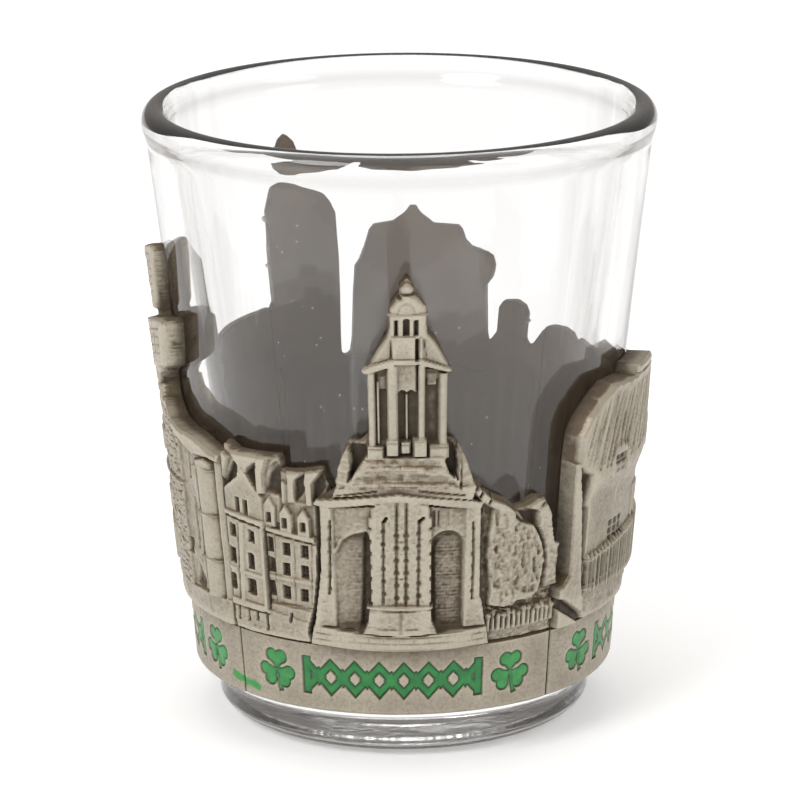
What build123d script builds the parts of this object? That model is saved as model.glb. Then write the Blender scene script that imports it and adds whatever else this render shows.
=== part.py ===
"""Souvenir shot glass with four cast pewter relief panels, green enamel fills and adhesive.

Units are millimetres, +Z is up, the origin is the centre of the foot on the surface the glass
stands on.  The bell tower panel faces -Y.  Positions on a panel are given as (u, z): u is the
distance round the wall from the panel's centre line, measured at U_RADIUS and growing to the
right as seen from outside, and z is the height.  Depths are measured outwards from the glass.
"""
from build123d import *
import math
import os

# ------------------------------------------------------------------ driving dimensions
HEIGHT = 60.0            # whole glass
WALL_BASE_Z = 4.0        # height the wall's slope is measured from
WALL_BASE_RADIUS = 18.85  # wall radius at that height
TAPER = 0.0805           # wall slope at that height
FLARE = 0.00040          # how quickly the slope grows towards the rim, per mm
FOOT_RADIUS = 18.15      # upright side of the foot, set in under the castings
FOOT_SEAT = 14.5         # radius where the foot's rounded edge leaves the table
FOOT_CURVE = 2.0         # height of that rounded edge
SHOULDER = (4.2, 4.9)    # heights between which the foot widens to the wall
RIM_RADIUS = 24.64       # widest radius of the fire-polished rim bead
RIM_Z = 58.4             # height of that widest point
RIM_TUBE = 1.3           # radius of the bead's cross-section
RIM_WALL = 2.35          # wall thickness just under the bead
FLOOR_Z = 9.5            # inside floor of the cup
FLOOR_RADIUS = 12.0      # flat part of the inside floor
FLOOR_CORNER = 4.2       # height of the rounded corner inside
INNER_WALL_RADIUS = 16.4  # inside radius just above that corner
PUSH_UP_RADIUS = 12.6    # concave hollow pressed into the underside
PUSH_UP = 1.4

GLUE = 0.15              # adhesive between glass and casting
SEAM_GAP = 0.16          # gap between neighbouring castings
BAND_BOTTOM = 5.2
BAND_TOP = 12.0
GROOVE = 0.25            # line between band and scenery
BAND_DEPTH = 1.42
RECESS = 0.30            # engraving depth of the enamel pockets
ENAMEL = 0.24            # enamel thickness in the pockets
U_RADIUS = 21.5          # radius at which the position u round the wall is measured
PANEL_HALF = U_RADIUS * math.pi / 4
SCENE_HALF = PANEL_HALF + 0.7  # scenery is drawn past the seam, then trimmed to it
FAR = 12.0               # any depth safely beyond the relief
WALL_STATIONS = (4.0, 12.0, 20.0, 28.0, 36.0, 44.0, 54.0)

CLOVER_U = 12.2          # centre of each clover on the band
CLOVER_Z = 8.75
FRIEZE_HALF = 8.15       # half length of the lozenge frieze
FRIEZE_Z = 8.72
FRIEZE_HALF_HEIGHT = 1.85
FRIEZE_CELLS = 7


# ------------------------------------------------------------------ shared geometry
def wall_radius(z):
    """Outer radius of the glass wall, interpolated between the wall stations."""
    def exact(h):
        rise = h - WALL_BASE_Z
        return WALL_BASE_RADIUS + TAPER * rise + FLARE * rise * rise
    for low, high in zip(WALL_STATIONS, WALL_STATIONS[1:]):
        if z <= high:
            part = (z - low) / (high - low)
            return exact(low) + part * (exact(high) - exact(low))
    return exact(WALL_STATIONS[-1])


def levels(z_from, z_to):
    """Heights at which an outline following the wall needs a point."""
    between = [z for z in WALL_STATIONS if z_from + 0.01 < z < z_to - 0.01]
    return [z_from] + between + [z_to]


def sector(profile, u_from, u_to):
    """Revolve a (radius, z) outline about the axis between two positions on the -Y side."""
    face = make_face(Polyline(*[(r, 0, z) for r, z in profile], close=True))
    sweep = math.degrees((u_to - u_from) / U_RADIUS)
    start = -90 + math.degrees(u_from / U_RADIUS)
    return Rot(0, 0, start) * revolve(face, Axis.Z, sweep)


def curved(u_from, u_to, z_from, z_to, depth, inner=-1.0):
    """A block that follows the wall, from one depth to another, with radial sides."""
    heights = levels(z_from, z_to)
    outline = [(wall_radius(z) + inner, z) for z in heights]
    outline += [(wall_radius(z) + depth, z) for z in reversed(heights)]
    return sector(outline, u_from, u_to)


def prism(points, u_centre):
    """A long bar with the given (u, z) outline, pointing outwards at u_centre."""
    flat = []
    for u, z in points:
        flat.append(((u - u_centre) / U_RADIUS * (wall_radius(z) + 1.2), 0, z))
    face = make_face(Polyline(*flat, close=True))
    bar = extrude(face, amount=60, dir=(0, -1, 0))
    return Rot(0, 0, math.degrees(u_centre / U_RADIUS)) * bar


def plate(points, depth, inner=-1.0):
    """A slab of the given (u, z) outline that follows the wall."""
    us = [u for u, _ in points]
    zs = [z for _, z in points]
    slab = curved(min(us) - 0.6, max(us) + 0.6, min(zs) - 0.3, max(zs) + 0.3, depth, inner)
    return slab & prism(points, (min(us) + max(us)) / 2)


def gable(u_from, u_to, z_from, z_eaves, z_top, depth):
    """A wall with a pointed top."""
    middle = (u_from + u_to) / 2
    return plate([(u_from, z_from), (u_to, z_from), (u_to, z_eaves), (middle, z_top),
                  (u_from, z_eaves)], depth)


def post(u, z_from, z_to, radius, depth):
    """A round column whose front reaches the given depth, leaning with the wall."""
    foot_r = wall_radius(z_from) + depth - radius
    head_r = wall_radius(z_to) + depth - radius
    path = Vector(0, -(head_r - foot_r), z_to - z_from)
    plane = Plane(origin=(0, -foot_r, z_from), z_dir=path)
    column = extrude(plane * Circle(radius), amount=path.length)
    return Rot(0, 0, math.degrees(u / U_RADIUS)) * column


def arch(u_from, u_to, z_from, z_spring, depth_floor):
    """A round-headed opening to cut, leaving material up to depth_floor."""
    middle = (u_from + u_to) / 2
    half = (u_to - u_from) / 2
    head = []
    for step in range(9):
        angle = math.pi * step / 8
        head.append((middle + half * math.cos(angle), z_spring + half * math.sin(angle)))
    return plate([(u_from, z_from), (u_to, z_from)] + head, FAR, depth_floor)


def windows(columns, rows, width, height, depth_floor):
    """Rectangular pockets at every crossing of the columns and rows (centre positions)."""
    cuts = []
    for u in columns:
        for z in rows:
            cuts.append(curved(u - width / 2, u + width / 2, z - height / 2, z + height / 2,
                               FAR, depth_floor))
    return cuts


# ------------------------------------------------------------------ glass tumbler
def make_glass():
    """Heavy-based tumbler: tapered wall, rounded foot, push-up and fire-polished rim."""
    wall_top = WALL_STATIONS[-1]
    foot_top, wall_foot = SHOULDER
    round_off = 0.55     # handle length that makes the foot's edge close to a quarter ellipse
    outer = (wall_radius(wall_top), wall_top)
    inner = (wall_radius(wall_top) - RIM_WALL, wall_top)
    crown = (RIM_RADIUS - RIM_TUBE, HEIGHT)
    with BuildSketch(Plane.XZ) as profile:
        with BuildLine():
            Polyline([(wall_radius(z), z) for z in (wall_foot, *WALL_STATIONS[1:])])
            Spline(outer, (24.24, 56.6), (RIM_RADIUS, RIM_Z), crown, (22.05, 58.3), inner,
                   tangents=((0.11, 1), (-0.10, -1)))
            Line(inner, (INNER_WALL_RADIUS, FLOOR_Z + FLOOR_CORNER))
            ThreePointArc((INNER_WALL_RADIUS, FLOOR_Z + FLOOR_CORNER),
                          (FLOOR_RADIUS + 3.1, FLOOR_Z + 1.25), (FLOOR_RADIUS, FLOOR_Z))
            Line((FLOOR_RADIUS, FLOOR_Z), (0, FLOOR_Z))
            Line((0, FLOOR_Z), (0, PUSH_UP))
            ThreePointArc((0, PUSH_UP), (PUSH_UP_RADIUS * 0.55, PUSH_UP * 0.72),
                          (PUSH_UP_RADIUS, 0))
            Line((PUSH_UP_RADIUS, 0), (FOOT_SEAT, 0))
            Bezier((FOOT_SEAT, 0), (FOOT_SEAT + round_off * (FOOT_RADIUS - FOOT_SEAT), 0),
                   (FOOT_RADIUS, FOOT_CURVE * (1 - round_off)), (FOOT_RADIUS, FOOT_CURVE))
            Polyline([(FOOT_RADIUS, FOOT_CURVE), (FOOT_RADIUS, foot_top),
                      (wall_radius(wall_foot), wall_foot)])
        make_face()
    return revolve(profile.sketch, Axis.Z, 360)


# ------------------------------------------------------------------ scenery of each casting
def bell_tower_scene():
    """Townhouses, a bell tower seen corner on, and an ivy bank with a low railing."""
    left = -SCENE_HALF
    right = SCENE_HALF
    solids = [
        curved(left, -6.6, BAND_TOP, 14.6, 1.8),
        # backing behind the roofs and the slope down to the tower
        plate([(left, 14), (-11.0, 14), (-10.6, 30.0), (left, 30.3)], 1.05),
        plate([(-11.2, 14), (-6.0, 14), (-6.0, 29.4), (-11.2, 29.0)], 1.05),
        plate([(-6.6, 14), (-1.0, 14), (-2.2, 32.8), (-3.4, 32.5), (-4.8, 30.6), (-6.2, 28.0)], 0.95),
        # house with the broad gable
        gable(left, -12.1, 14.5, 26.2, 28.9, 1.9),
        curved(left, -12.0, 23.2, 23.8, 2.15),
        curved(left, -12.0, 18.0, 18.5, 2.05),
        # row house with three dormers
        curved(-12.2, -6.9, 14.5, 22.6, 1.62),
        curved(-12.1, -6.8, 22.1, 22.8, 1.85),
        curved(-12.1, -6.8, 18.1, 18.5, 1.75),
        plate([(-12.2, 22.5), (-6.9, 22.5), (-7.4, 26.2), (-11.9, 26.4)], 1.3),
    ]
    for middle, top in ((-11.5, 26.4), (-9.7, 25.8), (-7.9, 25.6)):
        solids.append(gable(middle - 0.72, middle + 0.72, 22.7, 24.4, top, 1.7))
    for u_from, u_to, z_from, z_to, depth in ((left, -15.7, 25.6, 30.1, 1.85),
                                              (-14.7, -13.5, 27.6, 30.2, 1.6),
                                              (-12.6, -11.3, 26.4, 30.3, 1.95),
                                              (-9.6, -8.7, 26.0, 29.2, 1.5),
                                              (-7.4, -6.6, 26.0, 29.5, 1.7)):
        solids.append(curved(u_from, u_to, z_from, z_to, depth))
    # plinth, corner-on lower stage and its piers
    solids += [
        curved(-7.5, 9.3, BAND_TOP, 13.0, 2.75),
        curved(-7.2, 9.0, BAND_TOP, 14.0, 2.45),
        plate([(-6.9, 13.9), (8.7, 13.9), (8.2, 26.6), (0.9, 27.5), (-6.2, 26.9)], 1.7),
        plate([(-4.6, 13.9), (6.6, 13.9), (6.2, 26.6), (0.9, 27.5), (-4.4, 26.9)], 2.15),
        plate([(-2.4, 13.9), (4.2, 13.9), (3.9, 17.0), (-1.9, 17.0)], 3.2),
        plate([(-1.6, 16.9), (3.5, 16.9), (3.4, 27.0), (0.9, 27.5), (-1.5, 27.0)], 2.8),
        plate([(-6.7, 26.2), (0.9, 27.4), (8.3, 26.0), (8.3, 26.9), (0.9, 28.2), (-6.7, 27.1)], 2.9),
        # stepped base of the belfry with its corner scrolls
        plate([(-4.6, 27.6), (6.6, 27.6), (4.9, 31.6), (-2.0, 31.6)], 2.2),
        plate([(-3.4, 28.4), (5.8, 28.4), (4.9, 31.6), (-2.0, 31.6)], 2.45),
        plate([(-4.7, 27.4), (-3.3, 27.8), (-3.2, 31.4), (-3.6, 32.2), (-4.3, 30.4)], 2.0),
        plate([(5.7, 27.6), (7.6, 27.4), (7.1, 30.2), (6.0, 32.4), (5.6, 30.0)], 2.0),
        # belfry core, cornice, roof, lantern, cap and ball
        curved(-1.4, 4.9, 31.0, 40.0, 1.35),
        plate([(-2.0, 39.7), (5.3, 39.7), (5.2, 40.2), (3.0, 40.9), (0.3, 40.9), (-1.9, 40.2)], 2.3),
        plate([(-1.8, 40.0), (5.1, 40.0), (4.1, 41.8), (3.4, 43.6), (0.2, 43.6), (-0.6, 41.8)], 1.5),
        curved(0.2, 3.2, 40.8, 45.3, 1.7),
        plate([(0.1, 45.0), (3.4, 45.0), (3.2, 46.0), (2.4, 47.0), (1.0, 47.0), (0.3, 46.0)], 1.55),
        plate([(1.3, 46.8), (2.1, 46.8), (2.3, 47.5), (1.9, 48.2), (1.7, 48.5), (1.4, 48.2),
               (1.05, 47.5)], 1.35),
    ]
    for u, radius, z_from in ((-1.25, 0.42, 32.2), (0.45, 0.5, 33.0), (2.9, 0.45, 33.0),
                              (4.65, 0.42, 32.2)):
        solids.append(post(u, z_from, 39.8, radius, 1.95))
        solids.append(curved(u - 0.65, u + 0.65, 31.2, z_from + 0.2, 2.2))
    # ivy bank, tree and the low wall in front of them
    solids += [
        plate([(8.2, 12.0), (right, 12.0), (right, 21.0), (14.0, 24.0), (11.4, 25.6),
               (8.4, 27.6)], 1.15),
        plate([(8.8, 15.6), (14.6, 16.0), (14.4, 21.4), (12.6, 23.8), (11.2, 25.0),
               (9.2, 25.6)], 1.75),
        plate([(14.7, 16.4), (16.9, 16.8), (16.7, 20.8), (15.6, 23.0), (14.9, 25.4),
               (14.2, 25.2), (14.6, 22.0)], 1.9),
        curved(8.8, right, BAND_TOP, 15.2, 1.6),
    ]
    cuts = [
        arch(-4.6, -1.9, 14.0, 22.9, 1.25),
        arch(3.6, 6.6, 14.0, 22.5, 1.25),
        arch(1.15, 2.1, 33.0, 37.6, 0.95),
    ]
    cuts += windows((-15.9, -13.7), (17.1, 19.6, 22.1), 0.85, 1.4, 1.35)
    cuts += windows((-15.05, -14.1), (25.0,), 0.5, 1.3, 1.4)
    cuts += windows((-9.95, -8.15), (17.1, 19.4, 21.5), 0.8, 1.15, 1.15)
    cuts += windows((-11.65,), (17.1, 19.4, 21.6), 0.6, 1.3, 1.15)
    cuts += windows((-11.5, -9.7, -7.9), (24.0,), 0.45, 0.8, 1.3)
    cuts += windows((-5.5, 7.7), (21.0,), 0.25, 7.0, 1.3)
    cuts += windows((-0.4, 0.7, 1.5, 2.6), (21.3,), 0.25, 8.0, 2.4)
    cuts += windows((0.85, 1.65, 2.45), (44.0,), 0.4, 1.4, 1.25)
    cuts += [curved(u, u + 0.75, 12.5, 14.6, FAR, 1.3) for u in (9.6, 11.3, 13.0, 14.7)]
    return solids, cuts


def cottage_scene():
    """A thatched cottage behind a picket fence, with a tree clump at the far end."""
    left = -SCENE_HALF
    right = SCENE_HALF
    solids = [
        curved(left, right, BAND_TOP, 15.2, 1.75),
        plate([(left, 14), (2.0, 14), (2.0, 34.4), (-0.9, 34.5), (-1.1, 35.7), (-2.0, 36.1),
               (-6.9, 36.2), (-7.0, 35.1), (-11.2, 35.4), (-12.9, 34.5), (-14.4, 33.1),
               (-15.5, 31.5), (-15.7, 29.0), (-15.6, 17.4), (left, 16.6)], 1.6),
        plate([(1.0, 14), (10.6, 14), (10.4, 33.2), (9.6, 33.7), (4.6, 33.9), (1.0, 34.4)], 1.5),
        plate([(10.2, 14), (right, 14), (right, 33.4), (15.6, 33.9), (11.4, 33.9),
               (10.2, 33.2)], 1.25),
        # gable end wall, long wall and thatch
        plate([(-15.6, 14.5), (-13.9, 14.5), (-14.6, 25.4), (-15.2, 28.4), (-15.6, 28.8)], 2.5),
        curved(-13.6, 6.5, 15.0, 26.4, 2.1),
        plate([(-15.4, 28.4), (-12.9, 26.4), (7.2, 26.2), (6.4, 31.0), (4.4, 33.6), (-0.7, 34.2),
               (-7.0, 34.8), (-11.2, 35.2), (-12.9, 34.3), (-14.3, 32.8), (-15.2, 31.0)], 2.5),
        # broad chimney on the ridge
        plate([(-6.8, 34.0), (-1.2, 34.0), (-1.2, 35.6), (-2.1, 36.0), (-6.8, 36.1)], 2.4),
        # eyebrow dormers
        plate([(-11.3, 25.8), (-7.7, 25.8), (-8.0, 28.4), (-9.5, 29.2), (-11.0, 28.4)], 2.62),
        plate([(-0.6, 25.8), (3.0, 25.8), (2.7, 28.4), (1.2, 29.2), (-0.3, 28.4)], 2.62),
        # tree clump
        plate([(7.4, 14.5), (16.6, 14.5), (16.4, 24.0), (14.8, 30.4), (12.6, 32.6),
               (9.4, 32.4), (7.6, 28.0)], 1.85),
        plate([(8.6, 20.0), (15.6, 20.0), (15.0, 27.0), (12.4, 30.6), (9.6, 29.0)], 2.15),
        plate([(-13.6, 17.9), (7.4, 18.9), (7.4, 19.4), (-13.6, 18.4)], 2.55),
        curved(-13.4, 7.4, 15.6, 16.0, 2.5),
    ]
    pickets = 28
    for step in range(pickets):
        u = -13.2 + 20.4 * step / (pickets - 1)
        top = 18.9 + 0.045 * (u + 13.2)
        solids.append(curved(u - 0.14, u + 0.14, 14.8, top, 2.7))
    cuts = [plate([(-13.75, 16.0), (-13.45, 16.0), (-14.35, 25.4), (-14.65, 25.4)], FAR, 1.4)]
    cuts += windows((-9.95, -9.15), (26.75, 27.65), 0.6, 0.7, 2.0)
    cuts += windows((0.8, 1.6), (26.75, 27.65), 0.6, 0.7, 2.0)
    cuts += windows((-9.5, -8.4, -7.3), (19.4, 20.2, 21.0), 0.9, 0.6, 1.6)
    cuts += windows((1.7, 2.8, 3.9), (19.5, 20.3, 21.1), 0.9, 0.6, 1.6)
    cuts += windows((-2.4,), (21.6,), 2.0, 5.4, 1.7)
    return solids, cuts


def round_tower_scene():
    """A ruined gabled hall beside a tall round tower with a conical cap."""
    left = -SCENE_HALF
    right = SCENE_HALF
    solids = [
        curved(left, right, BAND_TOP, 15.4, 1.7),
        plate([(left, 14), (-8.0, 14), (-8.4, 31.2), (-9.6, 31.6), (-10.0, 35.0), (-12.0, 35.6),
               (-13.6, 35.0), (-13.6, 32.0), (-15.0, 31.6), (-16.2, 32.8), (left, 33.4)], 1.2),
        plate([(-8.6, 14), (6.9, 14), (6.6, 31.0), (6.2, 38.3), (5.2, 39.6), (4.4, 42.5),
               (2.0, 42.9), (0.0, 44.3), (-2.0, 42.8), (-4.9, 42.4), (-5.4, 40.7), (-8.4, 40.0),
               (-9.1, 38.6), (-8.3, 37.0)], 1.3),
        plate([(6.4, 14), (9.0, 14), (8.6, 29.7), (6.8, 29.7)], 1.1),
        plate([(14.2, 14), (right, 14), (right, 35.3), (15.2, 35.0), (14.2, 36.0)], 1.2),
        # hall, porch and buttresses
        plate([(-4.9, 15.0), (4.6, 15.0), (4.4, 37.2), (0.0, 43.0), (-4.6, 37.2)], 2.0),
        plate([(-8.4, 15.0), (-4.8, 15.0), (-4.8, 37.0), (-6.6, 38.4), (-8.2, 36.4)], 1.75),
        gable(-2.4, 2.4, 15.0, 21.4, 24.4, 2.5),
        curved(-4.9, -3.9, 15.0, 31.0, 2.3),
        curved(3.8, 4.8, 15.0, 31.0, 2.3),
        plate([(-16.4, 15.0), (-9.6, 15.0), (-9.8, 22.4), (-16.2, 23.4)], 1.8),
        # round tower: three tapering drums, eaves and cone
        curved(8.2, 15.7, 13.6, 44.0, 1.3),
        curved(9.0, 14.9, 14.2, 44.0, 1.52),
        curved(10.1, 13.8, 14.4, 44.0, 1.62),
        curved(7.95, 16.0, 43.6, 44.5, 1.5),
        plate([(8.1, 44.3), (15.9, 44.3), (13.8, 50.4), (13.2, 51.7), (12.5, 52.1), (11.8, 51.7),
               (11.2, 50.4)], 1.05),
        plate([(9.6, 44.3), (14.3, 44.3), (13.2, 50.0), (12.5, 51.2), (11.9, 50.0)], 1.3),
    ]
    for u in (-15.0, -12.9, -10.8):
        solids.append(gable(u - 0.8, u + 0.8, 22.4, 24.4, 26.0, 1.65))
    cuts = [
        arch(-1.1, 1.1, 15.4, 19.4, 1.5),
        arch(-2.5, -1.1, 26.6, 31.0, 1.4),
        arch(-0.7, 0.7, 26.6, 32.6, 1.4),
        arch(1.1, 2.5, 26.6, 31.0, 1.4),
        arch(-7.2, -6.0, 24.0, 28.0, 1.3),
        arch(11.3, 12.4, 18.4, 20.6, 1.1),
        arch(-15.4, -14.4, 17.0, 19.0, 1.3),
        arch(-12.2, -11.2, 17.0, 19.0, 1.3),
    ]
    cuts += windows((11.8,), (28.0, 34.0), 0.7, 1.5, 1.2)
    cuts += windows((9.9, 11.9, 13.9), (41.6,), 0.7, 1.4, 1.15)
    return solids, cuts


def parapet_foot(u):
    """Height of the underside of the castle's parapet, which slopes up to its near corner."""
    return 32.4 + 0.262 * (u + 5.6)


def castle_scene():
    """A square keep seen from its corner, an upper tower, curtain walls and a round corner turret."""
    left = -SCENE_HALF
    right = SCENE_HALF
    solids = [
        curved(left, right, BAND_TOP, 14.6, 1.7),
        plate([(left, 14), (-5.9, 14), (-5.9, 33.6), (-6.6, 34.6), (-9.0, 34.9), (-13.0, 35.0),
               (left, 35.4)], 1.2),
        plate([(-6.5, 14), (9.4, 14), (9.3, 30.8), (5.7, 32.2), (5.0, 33.8), (9.1, 36.3),
               (9.8, 38.4), (10.2, 40.9), (5.8, 40.3), (6.6, 43.5), (7.4, 47.1), (6.6, 47.6),
               (3.0, 46.5), (-3.4, 43.3), (-3.7, 37.9), (-5.5, 37.2), (-5.5, 33.4),
               (-4.6, 32.8), (-4.5, 27.4), (-6.5, 27.0)], 1.3),
        plate([(9.2, 14), (right, 14), (right, 29.3), (15.7, 29.6), (13.1, 30.4), (9.2, 30.8)], 1.3),
        # keep walls under a projecting parapet; both recede to the left, so their tops slope
        plate([(-7.6, 14.5), (8.2, 14.5), (8.1, 31.2), (5.6, 32.2), (4.9, 33.8), (5.2, 35.6),
               (-4.5, 33.0), (-4.4, 27.5), (-7.6, 26.9)], 1.95),
        plate([(7.6, 14.5), (12.6, 14.5), (12.4, 29.8), (7.8, 30.6)], 1.75),
        plate([(-5.5, parapet_foot(-5.5) + 1.0), (9.2, parapet_foot(9.2)), (9.8, 38.4), (10.1, 40.8),
               (-5.4, 37.2)], 2.0),
        # upper tower, shallower near the top where the glass widens
        plate([(-3.2, 38.4), (5.7, 40.4), (6.5, 43.5), (6.9, 45.2), (3.4, 45.2), (-3.0, 43.3)], 1.6),
        plate([(-3.7, 37.9), (5.8, 40.0), (5.9, 40.7), (-3.7, 38.5)], 1.9),
        # round corner turret and its cap
        curved(12.7, 15.4, 14.4, 27.6, 1.75),
        curved(13.2, 14.9, 14.4, 28.2, 2.05),
        curved(12.6, 15.5, 22.8, 23.1, 2.2),
        curved(12.6, 15.5, 18.2, 18.5, 2.2),
        # curtain wall with merlons on the far side
        curved(-16.6, -8.6, 14.5, 25.6, 1.7),
    ]
    for step in range(5):
        u = -16.2 + 1.75 * step
        solids.append(curved(u, u + 1.0, 25.4, 26.8, 1.7))
    for step in range(7):
        u = -4.2 + 2.1 * step
        solids.append(curved(u, u + 0.9, parapet_foot(u) - 1.4, parapet_foot(u) + 0.5, 1.85))
    cuts = [
        arch(-1.6, 1.6, 14.8, 18.6, 1.3),
        arch(-12.6, -10.4, 14.8, 18.2, 1.2),
    ]
    cuts += windows((-3.0, 0.4, 3.8), (22.6, 28.4), 0.8, 1.8, 1.4)
    cuts += windows((13.35,), (16.8, 20.6, 25.0), 0.45, 1.2, 1.5)
    for u in (-2.4, 2.4, 7.2):
        cuts += windows((u,), (parapet_foot(u) + 2.4,), 0.7, 1.4, 1.5)
    for u in (0.0, 4.2):
        cuts += windows((u,), (parapet_foot(u) + 8.0,), 0.8, 1.8, 1.0)
    return solids, cuts


# ------------------------------------------------------------------ enamel decoration
def clover_outline():
    """Flat three-leaf clover with a bent stem, centred on the origin."""
    shape = Sketch() + make_face(Polyline((-0.16, 0.1), (0.14, 0.1), (0.3, -1.3), (0.62, -2.1),
                                          (0.2, -2.2), (0.0, -1.4), close=True))
    heart = make_face(Polyline((0, 0.02), (1.04, 1.06), (0, 1.5), (-1.04, 1.06), close=True))
    leaf = heart + Pos(-0.52, 1.28) * Circle(0.66) + Pos(0.52, 1.28) * Circle(0.66)
    for angle in (0, 122, 238):
        shape += Rot(0, 0, angle) * leaf
    return shape


def frieze_outline():
    """Lattice of two crossing zigzag bars between end posts, with a lozenge on every crossing."""
    thick = 1.06
    post_half = 0.36
    cell = 2 * FRIEZE_HALF / FRIEZE_CELLS
    reach = FRIEZE_HALF_HEIGHT - thick / 2
    shape = Sketch()
    for phase in (1, -1):
        upper = []
        lower = []
        for step in range(FRIEZE_CELLS + 1):
            u = -FRIEZE_HALF + cell * step
            height = reach * phase * (1 if step % 2 == 0 else -1)
            upper.append((u, height + thick / 2))
            lower.append((u, height - thick / 2))
        shape += make_face(Polyline(*upper, *reversed(lower), close=True))
    for step in range(FRIEZE_CELLS):
        u = -FRIEZE_HALF + cell * (step + 0.5)
        shape += make_face(Polyline((u - 0.7, 0), (u, 0.95), (u + 0.7, 0), (u, -0.95), close=True))
    for u in (-FRIEZE_HALF, FRIEZE_HALF):
        shape += Pos(u, 0) * Rectangle(2 * post_half, 2 * FRIEZE_HALF_HEIGHT)
    return shape


def band_prism(outline, u, z):
    """Turn a flat decoration into a bar pointing outwards through the band at (u, z)."""
    upright = Plane(origin=(0, 0, z), x_dir=(1, 0, 0), z_dir=(0, -1, 0))
    return Rot(0, 0, math.degrees(u / U_RADIUS)) * extrude(upright * outline, amount=40)


# ------------------------------------------------------------------ assembly of one panel
def make_panel(scene, bars):
    """Cast panel: band plus scenery, trimmed to a quarter turn, with pockets for the enamel."""
    solids, cuts = scene()
    half = PANEL_HALF - SEAM_GAP / 2
    body = curved(-PANEL_HALF - 1, PANEL_HALF + 1, BAND_BOTTOM, BAND_TOP, BAND_DEPTH)
    for solid in solids:
        body = body + solid
    groove = curved(-PANEL_HALF - 2, PANEL_HALF + 2, BAND_TOP, BAND_TOP + GROOVE, FAR, 1.1)
    for cut in [groove] + cuts:
        body = body - cut
    allowed = curved(-half, half, BAND_BOTTOM, 56.0, FAR, GLUE)
    body = (body & allowed).clean()
    pocket = curved(-PANEL_HALF, PANEL_HALF, BAND_BOTTOM + 0.2, BAND_TOP - 0.2, FAR,
                    BAND_DEPTH - RECESS)
    for bar in bars:
        body = body - (pocket & bar)
    return body


def largest(shape):
    """The main solid of a shape, as one clean body."""
    return max(shape.solids(), key=lambda solid: solid.volume)


def make_enamel(bar):
    """Enamel that fills a pocket to just below the surface of the band."""
    layer = curved(-PANEL_HALF, PANEL_HALF, BAND_BOTTOM + 0.2, BAND_TOP - 0.2,
                   BAND_DEPTH - RECESS + ENAMEL, BAND_DEPTH - RECESS)
    return layer & bar


def make_adhesive(outline_top):
    """Thin adhesive film behind a casting, kept just inside its outline."""
    half = PANEL_HALF - 0.5
    return curved(-half, half, BAND_BOTTOM + 0.4, outline_top, GLUE, 0.0)


PANELS = (
    ("bell_tower", bell_tower_scene, 0, 20.0),
    ("cottage", cottage_scene, 90, 31.0),
    ("round_tower", round_tower_scene, 180, 29.0),
    ("castle", castle_scene, -90, 29.0),
)


def build():
    """All named pieces in their assembled positions."""
    clover = clover_outline()
    bars = (
        ("clover_left", band_prism(clover, -CLOVER_U, CLOVER_Z)),
        ("frieze", band_prism(frieze_outline(), 0, FRIEZE_Z)),
        ("clover_right", band_prism(clover, CLOVER_U, CLOVER_Z)),
    )
    pieces = {"glass_tumbler": make_glass()}
    for name, scene, angle, film_top in PANELS:
        turn = Rot(0, 0, angle)
        pieces[name + "_panel"] = turn * largest(make_panel(scene, [bar for _, bar in bars]))
        pieces[name + "_adhesive"] = turn * make_adhesive(film_top)
        for part, bar in bars:
            pieces[name + "_" + part] = turn * make_enamel(bar)
    return pieces


if __name__ == "__main__":
    os.makedirs("parts", exist_ok=True)
    for piece_name, shape in build().items():
        export_step(shape, os.path.join("parts", piece_name + ".step"))
        print(piece_name, round(shape.volume, 2), len(shape.solids()), shape.is_valid)
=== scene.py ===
"""Looks of the souvenir shot glass: clear tumbler, four antiqued pewter reliefs, green enamel.

Relief and ornament are height maps over (u, z) in millimetres, as in the CAD model: u runs round
the wall from a panel's centre line, measured at U_RADIUS, and z is the height above the foot.
Depths are measured outwards from the glass.  Meshes are built in metres.
"""
import math
import bpy
import numpy as np
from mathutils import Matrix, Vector


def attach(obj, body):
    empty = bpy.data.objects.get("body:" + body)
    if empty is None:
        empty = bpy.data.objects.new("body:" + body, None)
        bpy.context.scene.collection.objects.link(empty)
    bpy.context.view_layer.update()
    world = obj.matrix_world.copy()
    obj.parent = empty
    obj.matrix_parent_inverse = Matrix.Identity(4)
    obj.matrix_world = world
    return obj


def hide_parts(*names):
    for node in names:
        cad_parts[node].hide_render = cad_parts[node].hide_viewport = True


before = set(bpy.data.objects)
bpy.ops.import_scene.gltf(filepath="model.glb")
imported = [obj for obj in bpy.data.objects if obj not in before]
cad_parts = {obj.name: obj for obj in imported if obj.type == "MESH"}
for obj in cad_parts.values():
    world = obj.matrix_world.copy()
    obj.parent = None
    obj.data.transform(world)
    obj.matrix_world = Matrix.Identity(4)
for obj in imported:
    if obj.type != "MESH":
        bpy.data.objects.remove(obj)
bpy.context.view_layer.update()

# ------------------------------------------------------------------ dimensions shared with the CAD
MM = 0.001
WALL_BASE_Z = 4.0         # height the wall's slope is measured from
WALL_BASE_RADIUS = 18.85
TAPER = 0.0805
FLARE = 0.00040
WALL_TOP_Z = 54.0         # where the wall passes into the rim
FOOT_RADIUS = 18.15
FOOT_SEAT = 14.5          # radius where the foot's rounded edge leaves the table
FOOT_CURVE = 2.0
SHOULDER = (4.2, 4.9)     # heights between which the foot widens to the wall
FLOOR_Z = 9.5
FLOOR_RADIUS = 12.0
FLOOR_CORNER = 4.2
INNER_WALL_RADIUS = 16.4
PUSH_UP_RADIUS = 12.6
PUSH_UP = 1.4
GLUE = 0.15
BAND_BOTTOM = 5.2
BAND_TOP = 12.0
BAND_DEPTH = 1.42
RECESS = 0.30
ENAMEL = 0.24
U_RADIUS = 21.5
HALF_U = U_RADIUS * math.pi / 4 - 0.08
CLOVER_U = 12.2
CLOVER_Z = 8.75
FRIEZE_HALF = 8.15
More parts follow.
